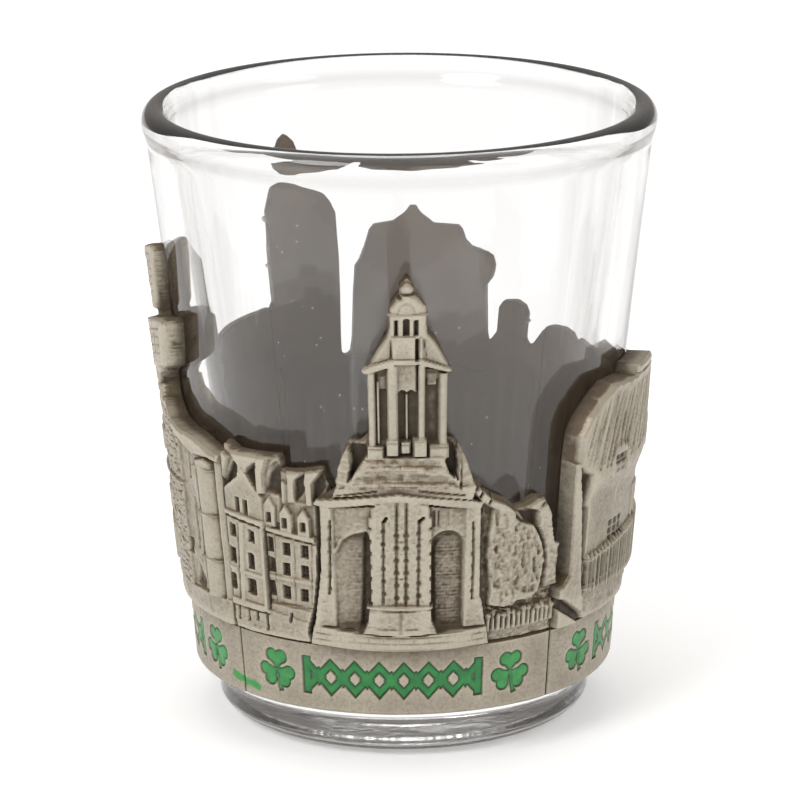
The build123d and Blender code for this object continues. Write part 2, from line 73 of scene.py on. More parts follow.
FRIEZE_Z = 8.72
FRIEZE_HALF_HEIGHT = 1.85
FRIEZE_CELLS = 7

# ------------------------------------------------------------------ dimensions of the looks
BAND_RADIUS = 20.75       # radius at which the ornament on the band is drawn flat
LIMIT_RADIUS = 24.58      # no relief reaches past the rim
MARK_RADIUS = 7.0         # round mark pressed into the underside
FLOOR_DIP = 0.35          # how far the cup's floor sinks towards its middle
GRID = 0.12               # spacing of the relief's points
SOFT = 0.17               # usual width of a cast edge
NOISE_TABLE = 97          # size of the repeating table behind the smooth noise
STONE_TABLE = 61          # size of the repeating table behind the irregular stones
TUMBLER_SEGMENTS = 192
UNDERSIDE_ROWS = 64       # rows of faces from the middle of the underside to the foot's seat


def wall(z):
    """Outer radius of the glass at height z."""
    rise = np.asarray(z, float) - WALL_BASE_Z
    return WALL_BASE_RADIUS + TAPER * rise + FLARE * rise * rise


# ------------------------------------------------------------------ flat shapes as signed distances
def sd_box(u, z, u0, u1, z0, z1):
    """Distance to an upright rectangle, negative inside."""
    du = np.abs(u - (u0 + u1) / 2) - (u1 - u0) / 2
    dz = np.abs(z - (z0 + z1) / 2) - (z1 - z0) / 2
    return np.hypot(np.maximum(du, 0), np.maximum(dz, 0)) + np.minimum(np.maximum(du, dz), 0)


def sd_poly(u, z, points):
    """Distance to a closed polygon, negative inside."""
    best = np.full(u.shape, 1e9)
    inside = np.zeros(u.shape, bool)
    count = len(points)
    for i in range(count):
        ua, za = points[i]
        ub, zb = points[(i + 1) % count]
        eu, ez = ub - ua, zb - za
        length = eu * eu + ez * ez + 1e-12
        t = np.clip(((u - ua) * eu + (z - za) * ez) / length, 0, 1)
        best = np.minimum(best, np.hypot(u - ua - t * eu, z - za - t * ez))
        if abs(ez) > 1e-9:
            crosses = ((za > z) != (zb > z)) & (u < eu * (z - za) / ez + ua)
            inside ^= crosses
    return np.where(inside, -best, best)


def sd_path(u, z, points, half_width):
    """Distance to a stroke of that half width along an open path."""
    best = np.full(u.shape, 1e9)
    for (ua, za), (ub, zb) in zip(points, points[1:]):
        eu, ez = ub - ua, zb - za
        t = np.clip(((u - ua) * eu + (z - za) * ez) / (eu * eu + ez * ez + 1e-12), 0, 1)
        best = np.minimum(best, np.hypot(u - ua - t * eu, z - za - t * ez))
    return best - half_width


def sd_arch(u, z, u0, u1, z0, spring):
    """Distance to a round-headed opening."""
    half = (u1 - u0) / 2
    disc = np.hypot(u - (u0 + u1) / 2, z - spring) - half
    return np.minimum(sd_box(u, z, u0, u1, z0, spring), disc)


def sd_clover(u, z):
    """Three heart-shaped leaves and a bent stem round the origin."""
    best = sd_poly(u, z, [(-0.16, 0.1), (0.14, 0.1), (0.3, -1.3), (0.62, -2.1), (0.2, -2.2),
                          (0.0, -1.4)])
    for turn in (0, 122, 238):
        c, s = math.cos(math.radians(turn)), math.sin(math.radians(turn))
        lu, lz = c * u + s * z, -s * u + c * z
        heart = sd_poly(lu, lz, [(0, 0.02), (1.04, 1.06), (0, 1.5), (-1.04, 1.06)])
        for side in (-0.52, 0.52):
            heart = np.minimum(heart, np.hypot(lu - side, lz - 1.28) - 0.66)
        best = np.minimum(best, heart)
    return best


def sd_frieze(u, z):
    """Two crossing zigzag bars between end posts, with a lozenge on every crossing."""
    thick = 1.06
    cell = 2 * FRIEZE_HALF / FRIEZE_CELLS
    reach = FRIEZE_HALF_HEIGHT - thick / 2
    best = np.full(u.shape, 1e9)
    for phase in (1, -1):
        upper = []
        lower = []
        for step in range(FRIEZE_CELLS + 1):
            at = -FRIEZE_HALF + cell * step
            height = reach * phase * (1 if step % 2 == 0 else -1)
            upper.append((at, height + thick / 2))
            lower.append((at, height - thick / 2))
        best = np.minimum(best, sd_poly(u, z, upper + lower[::-1]))
    for step in range(FRIEZE_CELLS):
        at = -FRIEZE_HALF + cell * (step + 0.5)
        best = np.minimum(best, sd_poly(u, z, [(at - 0.7, 0), (at, 0.95), (at + 0.7, 0),
                                               (at, -0.95)]))
    for at in (-FRIEZE_HALF, FRIEZE_HALF):
        best = np.minimum(best, sd_box(u, z, at - 0.36, at + 0.36, -FRIEZE_HALF_HEIGHT,
                                       FRIEZE_HALF_HEIGHT))
    return best


ORNAMENTS = (
    ("clover_left", sd_clover, -CLOVER_U, CLOVER_Z, 2.4, "clover_enamel"),
    ("frieze", sd_frieze, 0.0, FRIEZE_Z, 9.6, "frieze_enamel"),
    ("clover_right", sd_clover, CLOVER_U, CLOVER_Z, 2.4, "clover_enamel"),
)


def on_band(u, centre):
    """Flat distance across the band from an ornament's centre."""
    return BAND_RADIUS * np.sin((u - centre) / U_RADIUS)


# ------------------------------------------------------------------ noise
def smooth(t):
    """Ease from 0 to 1."""
    t = np.clip(t, 0, 1)
    return t * t * (3 - 2 * t)


def value_noise(u, z, size_u, size_z, seed):
    """Smooth noise between -1 and 1 with the given cell size."""
    rng = np.random.default_rng(seed)
    table = rng.uniform(-1, 1, (NOISE_TABLE, NOISE_TABLE))
    gu, gz = u / size_u + 200.0, z / size_z + 200.0
    iu, iz = np.floor(gu).astype(int), np.floor(gz).astype(int)
    fu, fz = smooth(gu - iu), smooth(gz - iz)
    iu, iz, next_u, next_z = (i % NOISE_TABLE for i in (iu, iz, iu + 1, iz + 1))
    a, b = table[iz, iu], table[iz, next_u]
    c, d = table[next_z, iu], table[next_z, next_u]
    return (a * (1 - fu) + b * fu) * (1 - fz) + (c * (1 - fu) + d * fu) * fz


def fractal(u, z, size, seed, octaves=3):
    """Sum of noises, each half the size and half the strength of the one before."""
    total = 0
    for octave in range(octaves):
        total = total + value_noise(u, z, size / 2 ** octave, size / 2 ** octave,
                                    seed + octave) / 2 ** octave
    return total / 1.6


def cells(u, z, size_u, size_z, seed):
    """Irregular stones: distance to the nearest border, and a random value for each stone."""
    rng = np.random.default_rng(seed)
    jitter = rng.uniform(0.15, 0.85, (STONE_TABLE, STONE_TABLE, 2))
    tone = rng.uniform(-1, 1, (STONE_TABLE, STONE_TABLE))
    gu, gz = u / size_u + 300.0, z / size_z + 300.0
    iu, iz = np.floor(gu).astype(int), np.floor(gz).astype(int)
    near = np.full(u.shape, 9.0)
    second = np.full(u.shape, 9.0)
    value = np.zeros(u.shape)
    for dz in (-1, 0, 1):
        for du in (-1, 0, 1):
            ju, jz = (iu + du) % STONE_TABLE, (iz + dz) % STONE_TABLE
            dist = np.hypot(gu - iu - du - jitter[jz, ju, 0], gz - iz - dz - jitter[jz, ju, 1])
            closer = dist < near
            second = np.where(closer, near, np.minimum(second, dist))
            value = np.where(closer, tone[jz, ju], value)
            near = np.where(closer, dist, near)
    return second - near, value


def blur(field, sigma):
    """Gaussian blur of a height map, sigma in grid steps."""
    reach = int(3 * sigma) + 1
    kernel = np.exp(-0.5 * (np.arange(-reach, reach + 1) / sigma) ** 2)
    kernel /= kernel.sum()
    for axis in (0, 1):
        padded = np.pad(field, [(reach, reach) if a == axis else (0, 0) for a in (0, 1)], "edge")
        total = np.zeros_like(field)
        for k, weight in enumerate(kernel):
            part = [slice(None), slice(None)]
            part[axis] = slice(k, k + field.shape[axis])
            total += weight * padded[tuple(part)]
        field = total
    return field


# ------------------------------------------------------------------ relief height map
class Relief:
    """Height map of one casting, with its outline, patina and painted shade."""

    def __init__(self, top):
        self.nu = int(round(2 * HALF_U / GRID)) + 1
        self.nz = int(round((top - BAND_BOTTOM) / GRID)) + 1
        self.us = np.linspace(-HALF_U, HALF_U, self.nu)
        self.zs = BAND_BOTTOM + GRID * np.arange(self.nz)
        self.u, self.z = np.meshgrid(self.us, self.zs)
        self.depth = np.full(self.u.shape, 1.0)
        self.soot_and_shade = np.zeros(self.u.shape)
        self.paint = np.zeros(self.u.shape)
        self.outline = np.full(self.u.shape, 9.0)
        self.outline = np.minimum(self.outline,
                                  sd_box(self.u, self.z, -30, 30, -5, BAND_TOP + 1.5))

    def cut_out(self, u0, u1, z0, z1):
        """Index window that covers a rectangle and a margin, with its coordinates."""
        margin = 0.5
        i0 = max(0, int((u0 - margin + HALF_U) / GRID))
        i1 = min(self.nu, int((u1 + margin + HALF_U) / GRID) + 2)
        j0 = max(0, int((z0 - margin - BAND_BOTTOM) / GRID))
        j1 = min(self.nz, int((z1 + margin - BAND_BOTTOM) / GRID) + 2)
        win = (slice(j0, j1), slice(i0, i1))
        return win, self.u[win], self.z[win]

    def around(self, points, reach=0.0):
        """Index window that covers a list of points."""
        us, zs = zip(*points)
        return self.cut_out(min(us) - reach, max(us) + reach, min(zs) - reach, max(zs) + reach)

    def press(self, win, sd, depth, how, soft):
        """Blend a depth into the map wherever the distance is negative."""
        here = self.depth[win]
        goal = {"raise": np.maximum(here, depth), "carve": np.minimum(here, depth),
                "add": here + depth, "set": depth}[how]
        self.depth[win] = here + smooth(0.5 - sd / soft) * (goal - here)

    def stamp(self, cut, distance, depth, how, soft, soot_and_shade):
        """Press a shape, given as a distance function, and leave patina in it, which in some shapes
        is painted shade.
        """
        win, u, z = cut
        sd = distance(u, z)
        self.press(win, sd, depth(u, z) if callable(depth) else depth, how, soft)
        self.dirt_and_shade(win, sd, soot_and_shade)

    def skyline(self, points):
        """Add a region to the outline of the casting."""
        self.outline = np.minimum(self.outline, sd_poly(self.u, self.z, points))

    def box(self, u0, u1, z0, z1, depth, how="raise", soft=SOFT, soot_and_shade=0.0):
        self.stamp(self.cut_out(u0, u1, z0, z1), lambda u, z: sd_box(u, z, u0, u1, z0, z1),
                   depth, how, soft, soot_and_shade)

    def poly(self, points, depth, how="raise", soft=SOFT, soot_and_shade=0.0):
        self.stamp(self.around(points), lambda u, z: sd_poly(u, z, points), depth, how, soft, soot_and_shade)

    def line(self, points, width, depth, how="carve", soft=SOFT, soot_and_shade=0.0):
        self.stamp(self.around(points, width), lambda u, z: sd_path(u, z, points, width / 2),
                   depth, how, soft, soot_and_shade)

    def arch(self, u0, u1, z0, spring, depth, how="carve", soft=SOFT, soot_and_shade=0.0):
        """A round-headed shape."""
        self.stamp(self.cut_out(u0, u1, z0, spring + (u1 - u0) / 2),
                   lambda u, z: sd_arch(u, z, u0, u1, z0, spring), depth, how, soft, soot_and_shade)

    def disc(self, u0, z0, radius, depth, how="raise", soft=SOFT, soot_and_shade=0.0):
        self.stamp(self.cut_out(u0 - radius, u0 + radius, z0 - radius, z0 + radius),
                   lambda u, z: np.hypot(u - u0, z - z0) - radius, depth, how, soft, soot_and_shade)

    def column(self, u0, z0, z1, radius, depth):
        """A half-round shaft."""
        win, u, z = self.cut_out(u0 - radius, u0 + radius, z0, z1)
        off = np.abs(u - u0) / radius
        shaft = depth - radius + radius * np.sqrt(np.clip(1 - off * off, 0, 1))
        sd = sd_box(u, z, u0 - radius - 1, u0 + radius + 1, z0, z1)
        self.press(win, np.maximum(sd, (off - 1) * radius), shaft, "raise", 0.1)

    def dirt_and_shade(self, win, sd, amount):
        """Leave dark patina inside a shape; where the shape stands for a shadow, this darkening is
        painted shade.
        """
        if amount:
            self.soot_and_shade[win] = np.maximum(self.soot_and_shade[win], amount * smooth(0.5 - sd / 0.2))

    def window(self, u0, z0, width, height, floor, mullions=(0, 0), slope=0.0, frame_width=0.0):
        """A sunk window, centred on (u0, z0), with optional glazing bars and a raised frame."""
        half_w, half_h = width / 2, height / 2
        corners = [(u0 - half_w, z0 - half_h - slope * half_w),
                   (u0 + half_w, z0 - half_h + slope * half_w),
                   (u0 + half_w, z0 + half_h + slope * half_w),
                   (u0 - half_w, z0 + half_h - slope * half_w)]
        if frame_width:
            ring = corners + corners[:1]
            self.line(ring, frame_width * 2, 0.09, "add", 0.14)
        self.poly(corners, floor, "set", 0.12, soot_and_shade=0.8)
        across, up = mullions
        for k in range(1, across + 1):
            at = u0 - half_w + width * k / (across + 1)
            self.box(at - 0.05, at + 0.05, z0 - half_h, z0 + half_h, floor + 0.3, "raise", 0.1)
        for k in range(1, up + 1):
            at = z0 - half_h + height * k / (up + 1)
            self.box(u0 - half_w, u0 + half_w, at - 0.05, at + 0.05, floor + 0.3, "raise", 0.1)

    def panes(self, u0, z0, columns, rows, width, height, bar, soot_and_shade=0.9):
        """A flush window: shallow dark panes between glazing bars."""
        for i in range(columns):
            for j in range(rows):
                u = u0 + (i - (columns - 1) / 2) * (width + bar)
                z = z0 + (j - (rows - 1) / 2) * (height + bar)
                self.box(u - width / 2, u + width / 2, z - height / 2, z + height / 2, -0.12, "add",
                         0.1, soot_and_shade)

    def grain(self, points, change, soft=0.4):
        """Add a texture, given as a function of (u, z), inside a polygon."""
        win, u, z = self.around(points)
        self.depth[win] += smooth(0.5 - sd_poly(u, z, points) / soft) * change(u, z)

    def rough(self, points, *layers):
        """Uneven surface: each layer is a strength, a size and a seed."""
        self.grain(points, lambda u, z: sum(strength * fractal(u, z, size, seed)
                                            for strength, size, seed in layers))

    def masonry(self, points, course, stone, groove=0.07, seed=1, follow=None):
        """Coursed stonework: bed joints every course and staggered upright joints."""
        def joints(u, z):
            level = z if follow is None else z + follow(u)
            row = np.floor(level / course)
            bed = np.abs(level / course - row - 0.5) - 0.5
            shift = (row % 2) * 0.5 + 0.17 * np.sin(row * 12.9 + seed)
            along = u / stone + shift
            upright = np.abs(along - np.floor(along) - 0.5) - 0.5
            sunk = np.maximum(smooth(1 + bed * course / 0.11), smooth(1 + upright * stone / 0.11))
            tone = np.sin(row * 78.2 + np.floor(along) * 37.7 + seed) * 0.5
            return -groove * sunk + 0.025 * tone
        self.grain(points, joints, 0.2)

    def rubble(self, points, size_u, size_z, groove=0.12, seed=5):
        """Rough stones of uneven size."""
        def stones(u, z):
            edge, tone = cells(u + 0.25 * value_noise(u, z, 0.9, 0.9, seed),
                               z + 0.2 * value_noise(u, z, 0.8, 0.8, seed + 1), size_u, size_z, seed)
            return -groove * (1 - smooth(edge / 0.28)) + 0.05 * tone
        self.grain(points, stones)

    def leaves(self, points, amount, size=0.55, seed=11):
        """Clumps of foliage."""
        def clumps(u, z):
            bend_u = u + 0.4 * size * value_noise(u, z, size, size, seed + 5)
            bend_z = z + 0.4 * size * value_noise(u, z, size, size, seed + 6)
            edge, tone = cells(bend_u, bend_z, size, size * 0.9, seed)
            return amount * (0.5 * smooth(edge / 0.9) - 0.25 + 0.2 * tone
                             + 0.9 * fractal(u, z, size * 2.2, seed + 3))
        self.grain(points, clumps)

    def smear(self, points, seed):
        """Stray green enamel with a ragged edge."""
        sd = sd_path(self.u, self.z, points, 0.42)
        ragged = sd + 0.2 * value_noise(self.u, self.z, 0.7, 0.7, seed)
        self.paint = smooth(0.5 - ragged / 0.3) * 0.9

    def settle(self, seed):
        """Add the band, groove, enamel pockets, rolled edges and the casting's own unevenness."""
        u, z = self.u, self.z
        ramp = smooth((z - BAND_TOP - 0.02) / 0.16)
        groove = 1 - smooth(np.abs(z - BAND_TOP - 0.1) / 0.17)
        band = BAND_DEPTH + 0.02 * fractal(u, z, 2.4, seed + 40)
        self.depth = band * (1 - ramp) + self.depth * ramp
        self.depth = self.depth - groove * np.clip(self.depth - 1.05, 0, 0.5)
        self.soot_and_shade = np.maximum(self.soot_and_shade * ramp, 0.85 * groove)
        for _, shape, centre, height, _, _ in ORNAMENTS:
            sd = shape(on_band(u, centre), z - height)
            self.depth -= RECESS * smooth(0.5 - (sd - 0.03) / 0.14)
            self.soot_and_shade = np.maximum(self.soot_and_shade, 0.75 * (1 - smooth(np.abs(sd - 0.06) / 0.1)))
        low = 1 - smooth((z - BAND_BOTTOM) / 0.28)
        self.depth -= 0.16 * low * low
        self.depth += 0.012 * fractal(u, z, 0.5, seed + 50) + 0.02 * fractal(u, z, 1.8, seed + 60)
        side = smooth((HALF_U - np.abs(u)) / 0.2)
        self.depth -= 0.12 * (1 - side)
        roll = np.clip(1 + (self.outline + 0.7 * GRID) / 0.32, 0, 1)
        self.depth -= 0.22 * roll * roll
        self.depth = np.clip(self.depth, 0.62, LIMIT_RADIUS - wall(z))

    def patina(self):
        """Darkness of each point: recesses keep the dark wash, raised parts are rubbed clean."""
        fine = blur(self.depth, 1.8) - self.depth
        broad = blur(self.depth, 6.0) - self.depth
        wide = blur(self.depth, 16.0) - self.depth
        return np.clip(fine * 3.6 + broad * 1.3 + wide * 0.5, -1, 1.4)


# ------------------------------------------------------------------ meshes from height maps
def wall_point(u, z, depth, turn):
    """Point on the wall of a panel turned by an angle, in metres."""
    angle = u / U_RADIUS - math.pi / 2 + turn
    radius = wall(z) + depth
    return np.stack([radius * np.cos(angle), radius * np.sin(angle), z], -1) * MM


def filled_cells(outline):
    """Grid cells whose centre lies inside the outline."""
    centre = (outline[:-1, :-1] + outline[1:, :-1] + outline[:-1, 1:] + outline[1:, 1:]) / 4
    return centre < 0


def snapped(u, z, outline, cells_in, step):
    """Move the points on the rim of the filled cells onto the outline itself."""
    count = np.zeros(u.shape, int)
    seen = np.zeros(u.shape, int)
    for dz in (0, 1):
        for du in (0, 1):
            part = (slice(dz, dz + cells_in.shape[0]), slice(du, du + cells_in.shape[1]))
            count[part] += cells_in
            seen[part] += 1
    rim = (count > 0) & (count < seen)
    grad_z, grad_u = np.gradient(outline, step)
    size = np.hypot(grad_u, grad_z) + 1e-9
    shift = np.clip(outline, -0.75 * step, 0.75 * step)
    new_u = np.where(rim, u - shift * grad_u / size, u)
    new_z = np.where(rim, z - shift * grad_z / size, z)
    new_u[:, 0], new_u[:, -1] = u[:, 0], u[:, -1]
    new_z[0], new_z[-1] = z[0], z[-1]
    return new_u, new_z


def place(name, data):
    """Put a mesh, lamp or camera into the scene."""
    made = bpy.data.objects.new(name, data)
    bpy.context.collection.objects.link(made)
    return made


def plate_mesh(name, front, back, cells_in, block, attributes, materials):
    """Closed plate: fine front and side walls in the first material, and a back of large tiles.

    The back takes the second material.  Its tiles are block by block cells, with every point of a
    border that they share with single cells, so that no gap opens.
    """
    nz, nu = front.shape[:2]
    index = np.arange(nz * nu).reshape(nz, nu)
    jj, ii = np.nonzero(cells_in)
    faces = [np.stack([index[jj, ii], index[jj, ii + 1], index[jj + 1, ii + 1],
                       index[jj + 1, ii]], -1)]
    padded = np.pad(cells_in, 1)
    offset = nz * nu
    for dj, di, a, b in ((-1, 0, (0, 0), (0, 1)), (1, 0, (1, 1), (1, 0)),
                         (0, -1, (1, 0), (0, 0)), (0, 1, (0, 1), (1, 1))):
        edge = cells_in & ~padded[1 + dj:1 + dj + cells_in.shape[0],
                                  1 + di:1 + di + cells_in.shape[1]]
        ej, ei = np.nonzero(edge)
        pa, pb = index[ej + a[0], ei + a[1]], index[ej + b[0], ei + b[1]]
        faces.append(np.stack([pb, pa, pa + offset, pb + offset], -1))
    polygons = [tuple(face) for face in np.concatenate(faces).tolist()]
    walls = len(polygons)
    rows, cols = -(-cells_in.shape[0] // block), -(-cells_in.shape[1] // block)
    full = np.zeros((rows + 2, cols + 2), bool)
    for r in range(rows):
        for c in range(cols):
            tile = cells_in[r * block:(r + 1) * block, c * block:(c + 1) * block]
            full[r + 1, c + 1] = tile.shape == (block, block) and tile.all()
    for r in range(rows):
        for c in range(cols):
            j0, i0 = r * block, c * block
            if full[r + 1, c + 1]:
                j1, i1 = j0 + block, i0 + block
                ring = []
                ring += [(j0, i) for i in (range(i0, i1) if not full[r, c + 1] else (i0,))]
                ring += [(j, i1) for j in (range(j0, j1) if not full[r + 1, c + 2] else (j0,))]
                ring += [(j1, i) for i in (range(i1, i0, -1) if not full[r + 2, c + 1] else (i1,))]
                ring += [(j, i0) for j in (range(j1, j0, -1) if not full[r + 1, c] else (j1,))]
                polygons.append(tuple(int(index[j, i]) + offset for j, i in reversed(ring)))
                continue
            for j in range(j0, min(j0 + block, cells_in.shape[0])):
                for i in range(i0, min(i0 + block, cells_in.shape[1])):
                    if cells_in[j, i]:
                        corner = (index[j, i], index[j + 1, i], index[j + 1, i + 1], index[j, i + 1])
                        polygons.append(tuple(int(k) + offset for k in corner))
    points = np.concatenate([front.reshape(-1, 3), back.reshape(-1, 3)])
    used = np.zeros(len(points), bool)
    for polygon in polygons:
        used[list(polygon)] = True
    remap = np.cumsum(used) - 1
    polygons = [tuple(int(remap[k]) for k in polygon) for polygon in polygons]
    mesh = bpy.data.meshes.new(name)
    mesh.from_pydata(points[used].tolist(), [], polygons)
    for label, values in attributes.items():
        both = np.concatenate([values[0].reshape(-1), values[1].reshape(-1)])[used]
        layer = mesh.attributes.new(label, "FLOAT", "POINT")
        layer.data.foreach_set("value", both.astype(np.float32))
    back_slot = np.zeros(len(polygons), np.int32)
    back_slot[walls:] = 1
    mesh.polygons.foreach_set("material_index", back_slot)
    mesh.polygons.foreach_set("use_smooth", np.ones(len(polygons), bool))
    mesh.set_sharp_from_angle(angle=math.radians(48))
    for material in materials:
        mesh.materials.append(material)
    mesh.update()
    return place(name, mesh)


def casting(name, relief, turn, materials, seed):
    """The finished pewter panel of one relief."""
    relief.settle(seed)
    inside = filled_cells(relief.outline)
    u, z = snapped(relief.u, relief.z, relief.outline, inside, GRID)
    front = wall_point(u, z, relief.depth, turn)
    back = wall_point(u, z, GLUE + 0.01, turn)
    dark = relief.patina()
    # the side walls are dirtier above the rooftops, where they are never rubbed
    edge_soot = 0.28 + 0.4 * smooth((relief.z - 28) / 3)
    return plate_mesh(name, front, back, inside, 6, {
        "patina": (dark, np.full(dark.shape, 0.5)),
        "soot_and_shade": (relief.soot_and_shade, edge_soot),
        "paint": (relief.paint, np.zeros(dark.shape)),
    }, materials)


def film(name, relief, top, turn, material, seed):
    """Cured adhesive between glass and casting, with an uneven edge kept inside the casting."""
    step = 0.36
    us = np.arange(-HALF_U + 0.3, HALF_U - 0.3, step)
    zs = np.arange(BAND_BOTTOM + 0.5, top + 3.0, step)
    u, z = np.meshgrid(us, zs)
    iu = np.clip(((u + HALF_U) / GRID).astype(int), 0, relief.nu - 1)
    iz = np.clip(((z - BAND_BOTTOM) / GRID).astype(int), 0, relief.nz - 1)
    sd = np.maximum(relief.outline[iz, iu] + 0.8, z - top - 1.2 * value_noise(u, z, 4, 4, seed))
    sd = np.maximum(sd, np.abs(u) - HALF_U + 0.9) + 0.3 * value_noise(u, z, 1.6, 1.6, seed + 1)
    inside = filled_cells(sd)
    u, z = snapped(u, z, sd, inside, step)
    front = wall_point(u, z, GLUE - 0.01, turn)
    back = wall_point(u, z, 0.02, turn)
    return plate_mesh(name, front, back, inside, 6, {}, (material, material))


def enamel(name, shape, centre, height, reach, turn, material, seed):
    """Green fill of one pocket, with a rounded edge and an uneven poured surface."""
    step = 0.06
    us = np.arange(centre - reach, centre + reach + step, step)
    zs = np.arange(height - 2.5, height + 2.5, step)
    u, z = np.meshgrid(us, zs)
    sd = shape(on_band(u, centre), z - height)
    inside = filled_cells(sd)
    new_u, new_z = snapped(u, z, sd, inside, step)
    edge = np.clip(1 + sd / 0.26, 0, 1)
    top = BAND_DEPTH - RECESS + ENAMEL - 0.11 * edge * edge + 0.018 * fractal(u, z, 0.7, seed)
    front = wall_point(new_u, new_z, top, turn)
    back = wall_point(new_u, new_z, BAND_DEPTH - RECESS + 0.02, turn)
    return plate_mesh(name, front, back, inside, 4, {"edge": (edge, np.ones(edge.shape))},
                      (material, material))


# ------------------------------------------------------------------ bell tower panel
def house_bank(r):
    """Roof behind the gables, and the bank in front of the houses."""
    r.box(-18, -10.4, 23.8, 30.6, lambda u, z: 1.55 - 0.03 * (z - 23.8))
    r.poly([(-17.4, 12.2), (-7.9, 12.2), (-7.6, 14.2), (-12.2, 15.0), (-17.4, 14.7)], 1.85)
    r.poly([(-12.6, 13.0), (-7.6, 12.6), (-7.3, 14.6), (-7.4, 15.4), (-12.0, 15.7)], 1.75)


def gabled_house(r):
    """Broad house with a gable, string courses, six windows in rows and two in the gable."""
    r.poly([(-17.4, 14.6), (-12.1, 14.6), (-12.05, 23.4), (-17.4, 24.0)], 1.92)
    r.poly([(-17.4, 23.6), (-12.1, 23.2), (-12.15, 26.1), (-13.9, 28.5), (-14.4, 28.8),
            (-15.0, 27.9), (-17.0, 26.1), (-17.4, 25.8)], 1.85)
    r.poly([(-17.4, 23.75), (-12.3, 23.2), (-12.0, 23.35), (-12.0, 23.8), (-17.4, 24.3)], 2.1)
    r.line([(-17.4, 23.72), (-12.5, 23.15)], 0.16, 1.6, "carve", 0.12, soot_and_shade=0.85)
    r.poly([(-17.4, 18.2), (-12.1, 17.85), (-12.1, 18.25), (-17.4, 18.6)], 2.04)
    r.poly([(-17.4, 14.6), (-12.1, 14.5), (-12.1, 15.2), (-17.4, 15.4)], 2.08)
    r.line([(-15.22, 22.9), (-15.7, 15.4)], 0.2, 1.7, "carve", 0.12, soot_and_shade=0.6)
    r.poly([(-15.05, 23.3), (-14.5, 23.3), (-15.0, 15.2), (-15.5, 15.2)], 2.06)
    r.poly([(-12.5, 23.3), (-12.1, 23.2), (-12.2, 15.0), (-12.6, 15.0)], 2.05)
    for u0, z0, width, height in ((-15.9, 22.2, 0.75, 1.2), (-13.65, 22.0, 0.75, 1.15),
                                  (-16.25, 19.65, 0.78, 1.5), (-13.87, 19.45, 0.78, 1.5),
                                  (-16.5, 16.95, 0.8, 1.5), (-14.1, 16.85, 1.05, 1.5)):
        r.window(u0, z0, width, height, 1.35, (1, 1), -0.12, 0.07)
    for u0, z0 in ((-15.07, 24.95), (-14.1, 24.85)):
        r.window(u0, z0, 0.5, 1.4, 1.35, (0, 1), -0.12, 0.06)


def gable_chimneys(r):
    """Chimneys of the gabled house, with black hollows between them."""
    r.poly([(-14.9, 27.6), (-13.9, 27.6), (-13.8, 28.7), (-13.0, 29.4), (-12.3, 29.6),
            (-12.3, 30.4), (-15.8, 30.2), (-15.2, 29.3), (-14.8, 28.8)], 1.75)
    r.poly([(-17.0, 26.3), (-16.2, 27.9), (-15.7, 28.9), (-15.2, 29.2), (-14.92, 28.6),
            (-14.85, 27.9), (-15.8, 27.1)], 0.95, "carve", 0.14, soot_and_shade=1.0)
    r.poly([(-13.8, 28.4), (-13.1, 29.15), (-12.65, 28.4), (-12.45, 26.6), (-12.9, 27.0)], 0.95,
           "carve", 0.14, soot_and_shade=1.0)
    r.poly([(-17.4, 26.4), (-17.1, 26.4), (-16.4, 28.2), (-15.9, 29.5), (-16.6, 29.9),
            (-17.4, 29.6)], 1.9)
    r.poly([(-12.6, 26.5), (-11.85, 26.6), (-11.8, 28.6), (-11.3, 30.1), (-10.5, 30.3),
            (-12.3, 30.4), (-12.55, 29.0)], 2.0)
    r.poly([(-11.75, 28.2), (-11.4, 29.3), (-10.6, 30.0), (-10.35, 29.4), (-10.35, 26.7),
            (-11.85, 26.8)], lambda u, z: 1.75 - 0.75 * np.clip((u + 11.8) / 0.9, 0, 1), "carve",
           0.14)
    r.poly([(-11.3, 28.6), (-10.6, 29.6), (-10.35, 29.4), (-10.35, 26.7), (-11.7, 26.9)], 0.95,
           "carve", 0.5, soot_and_shade=1.0)


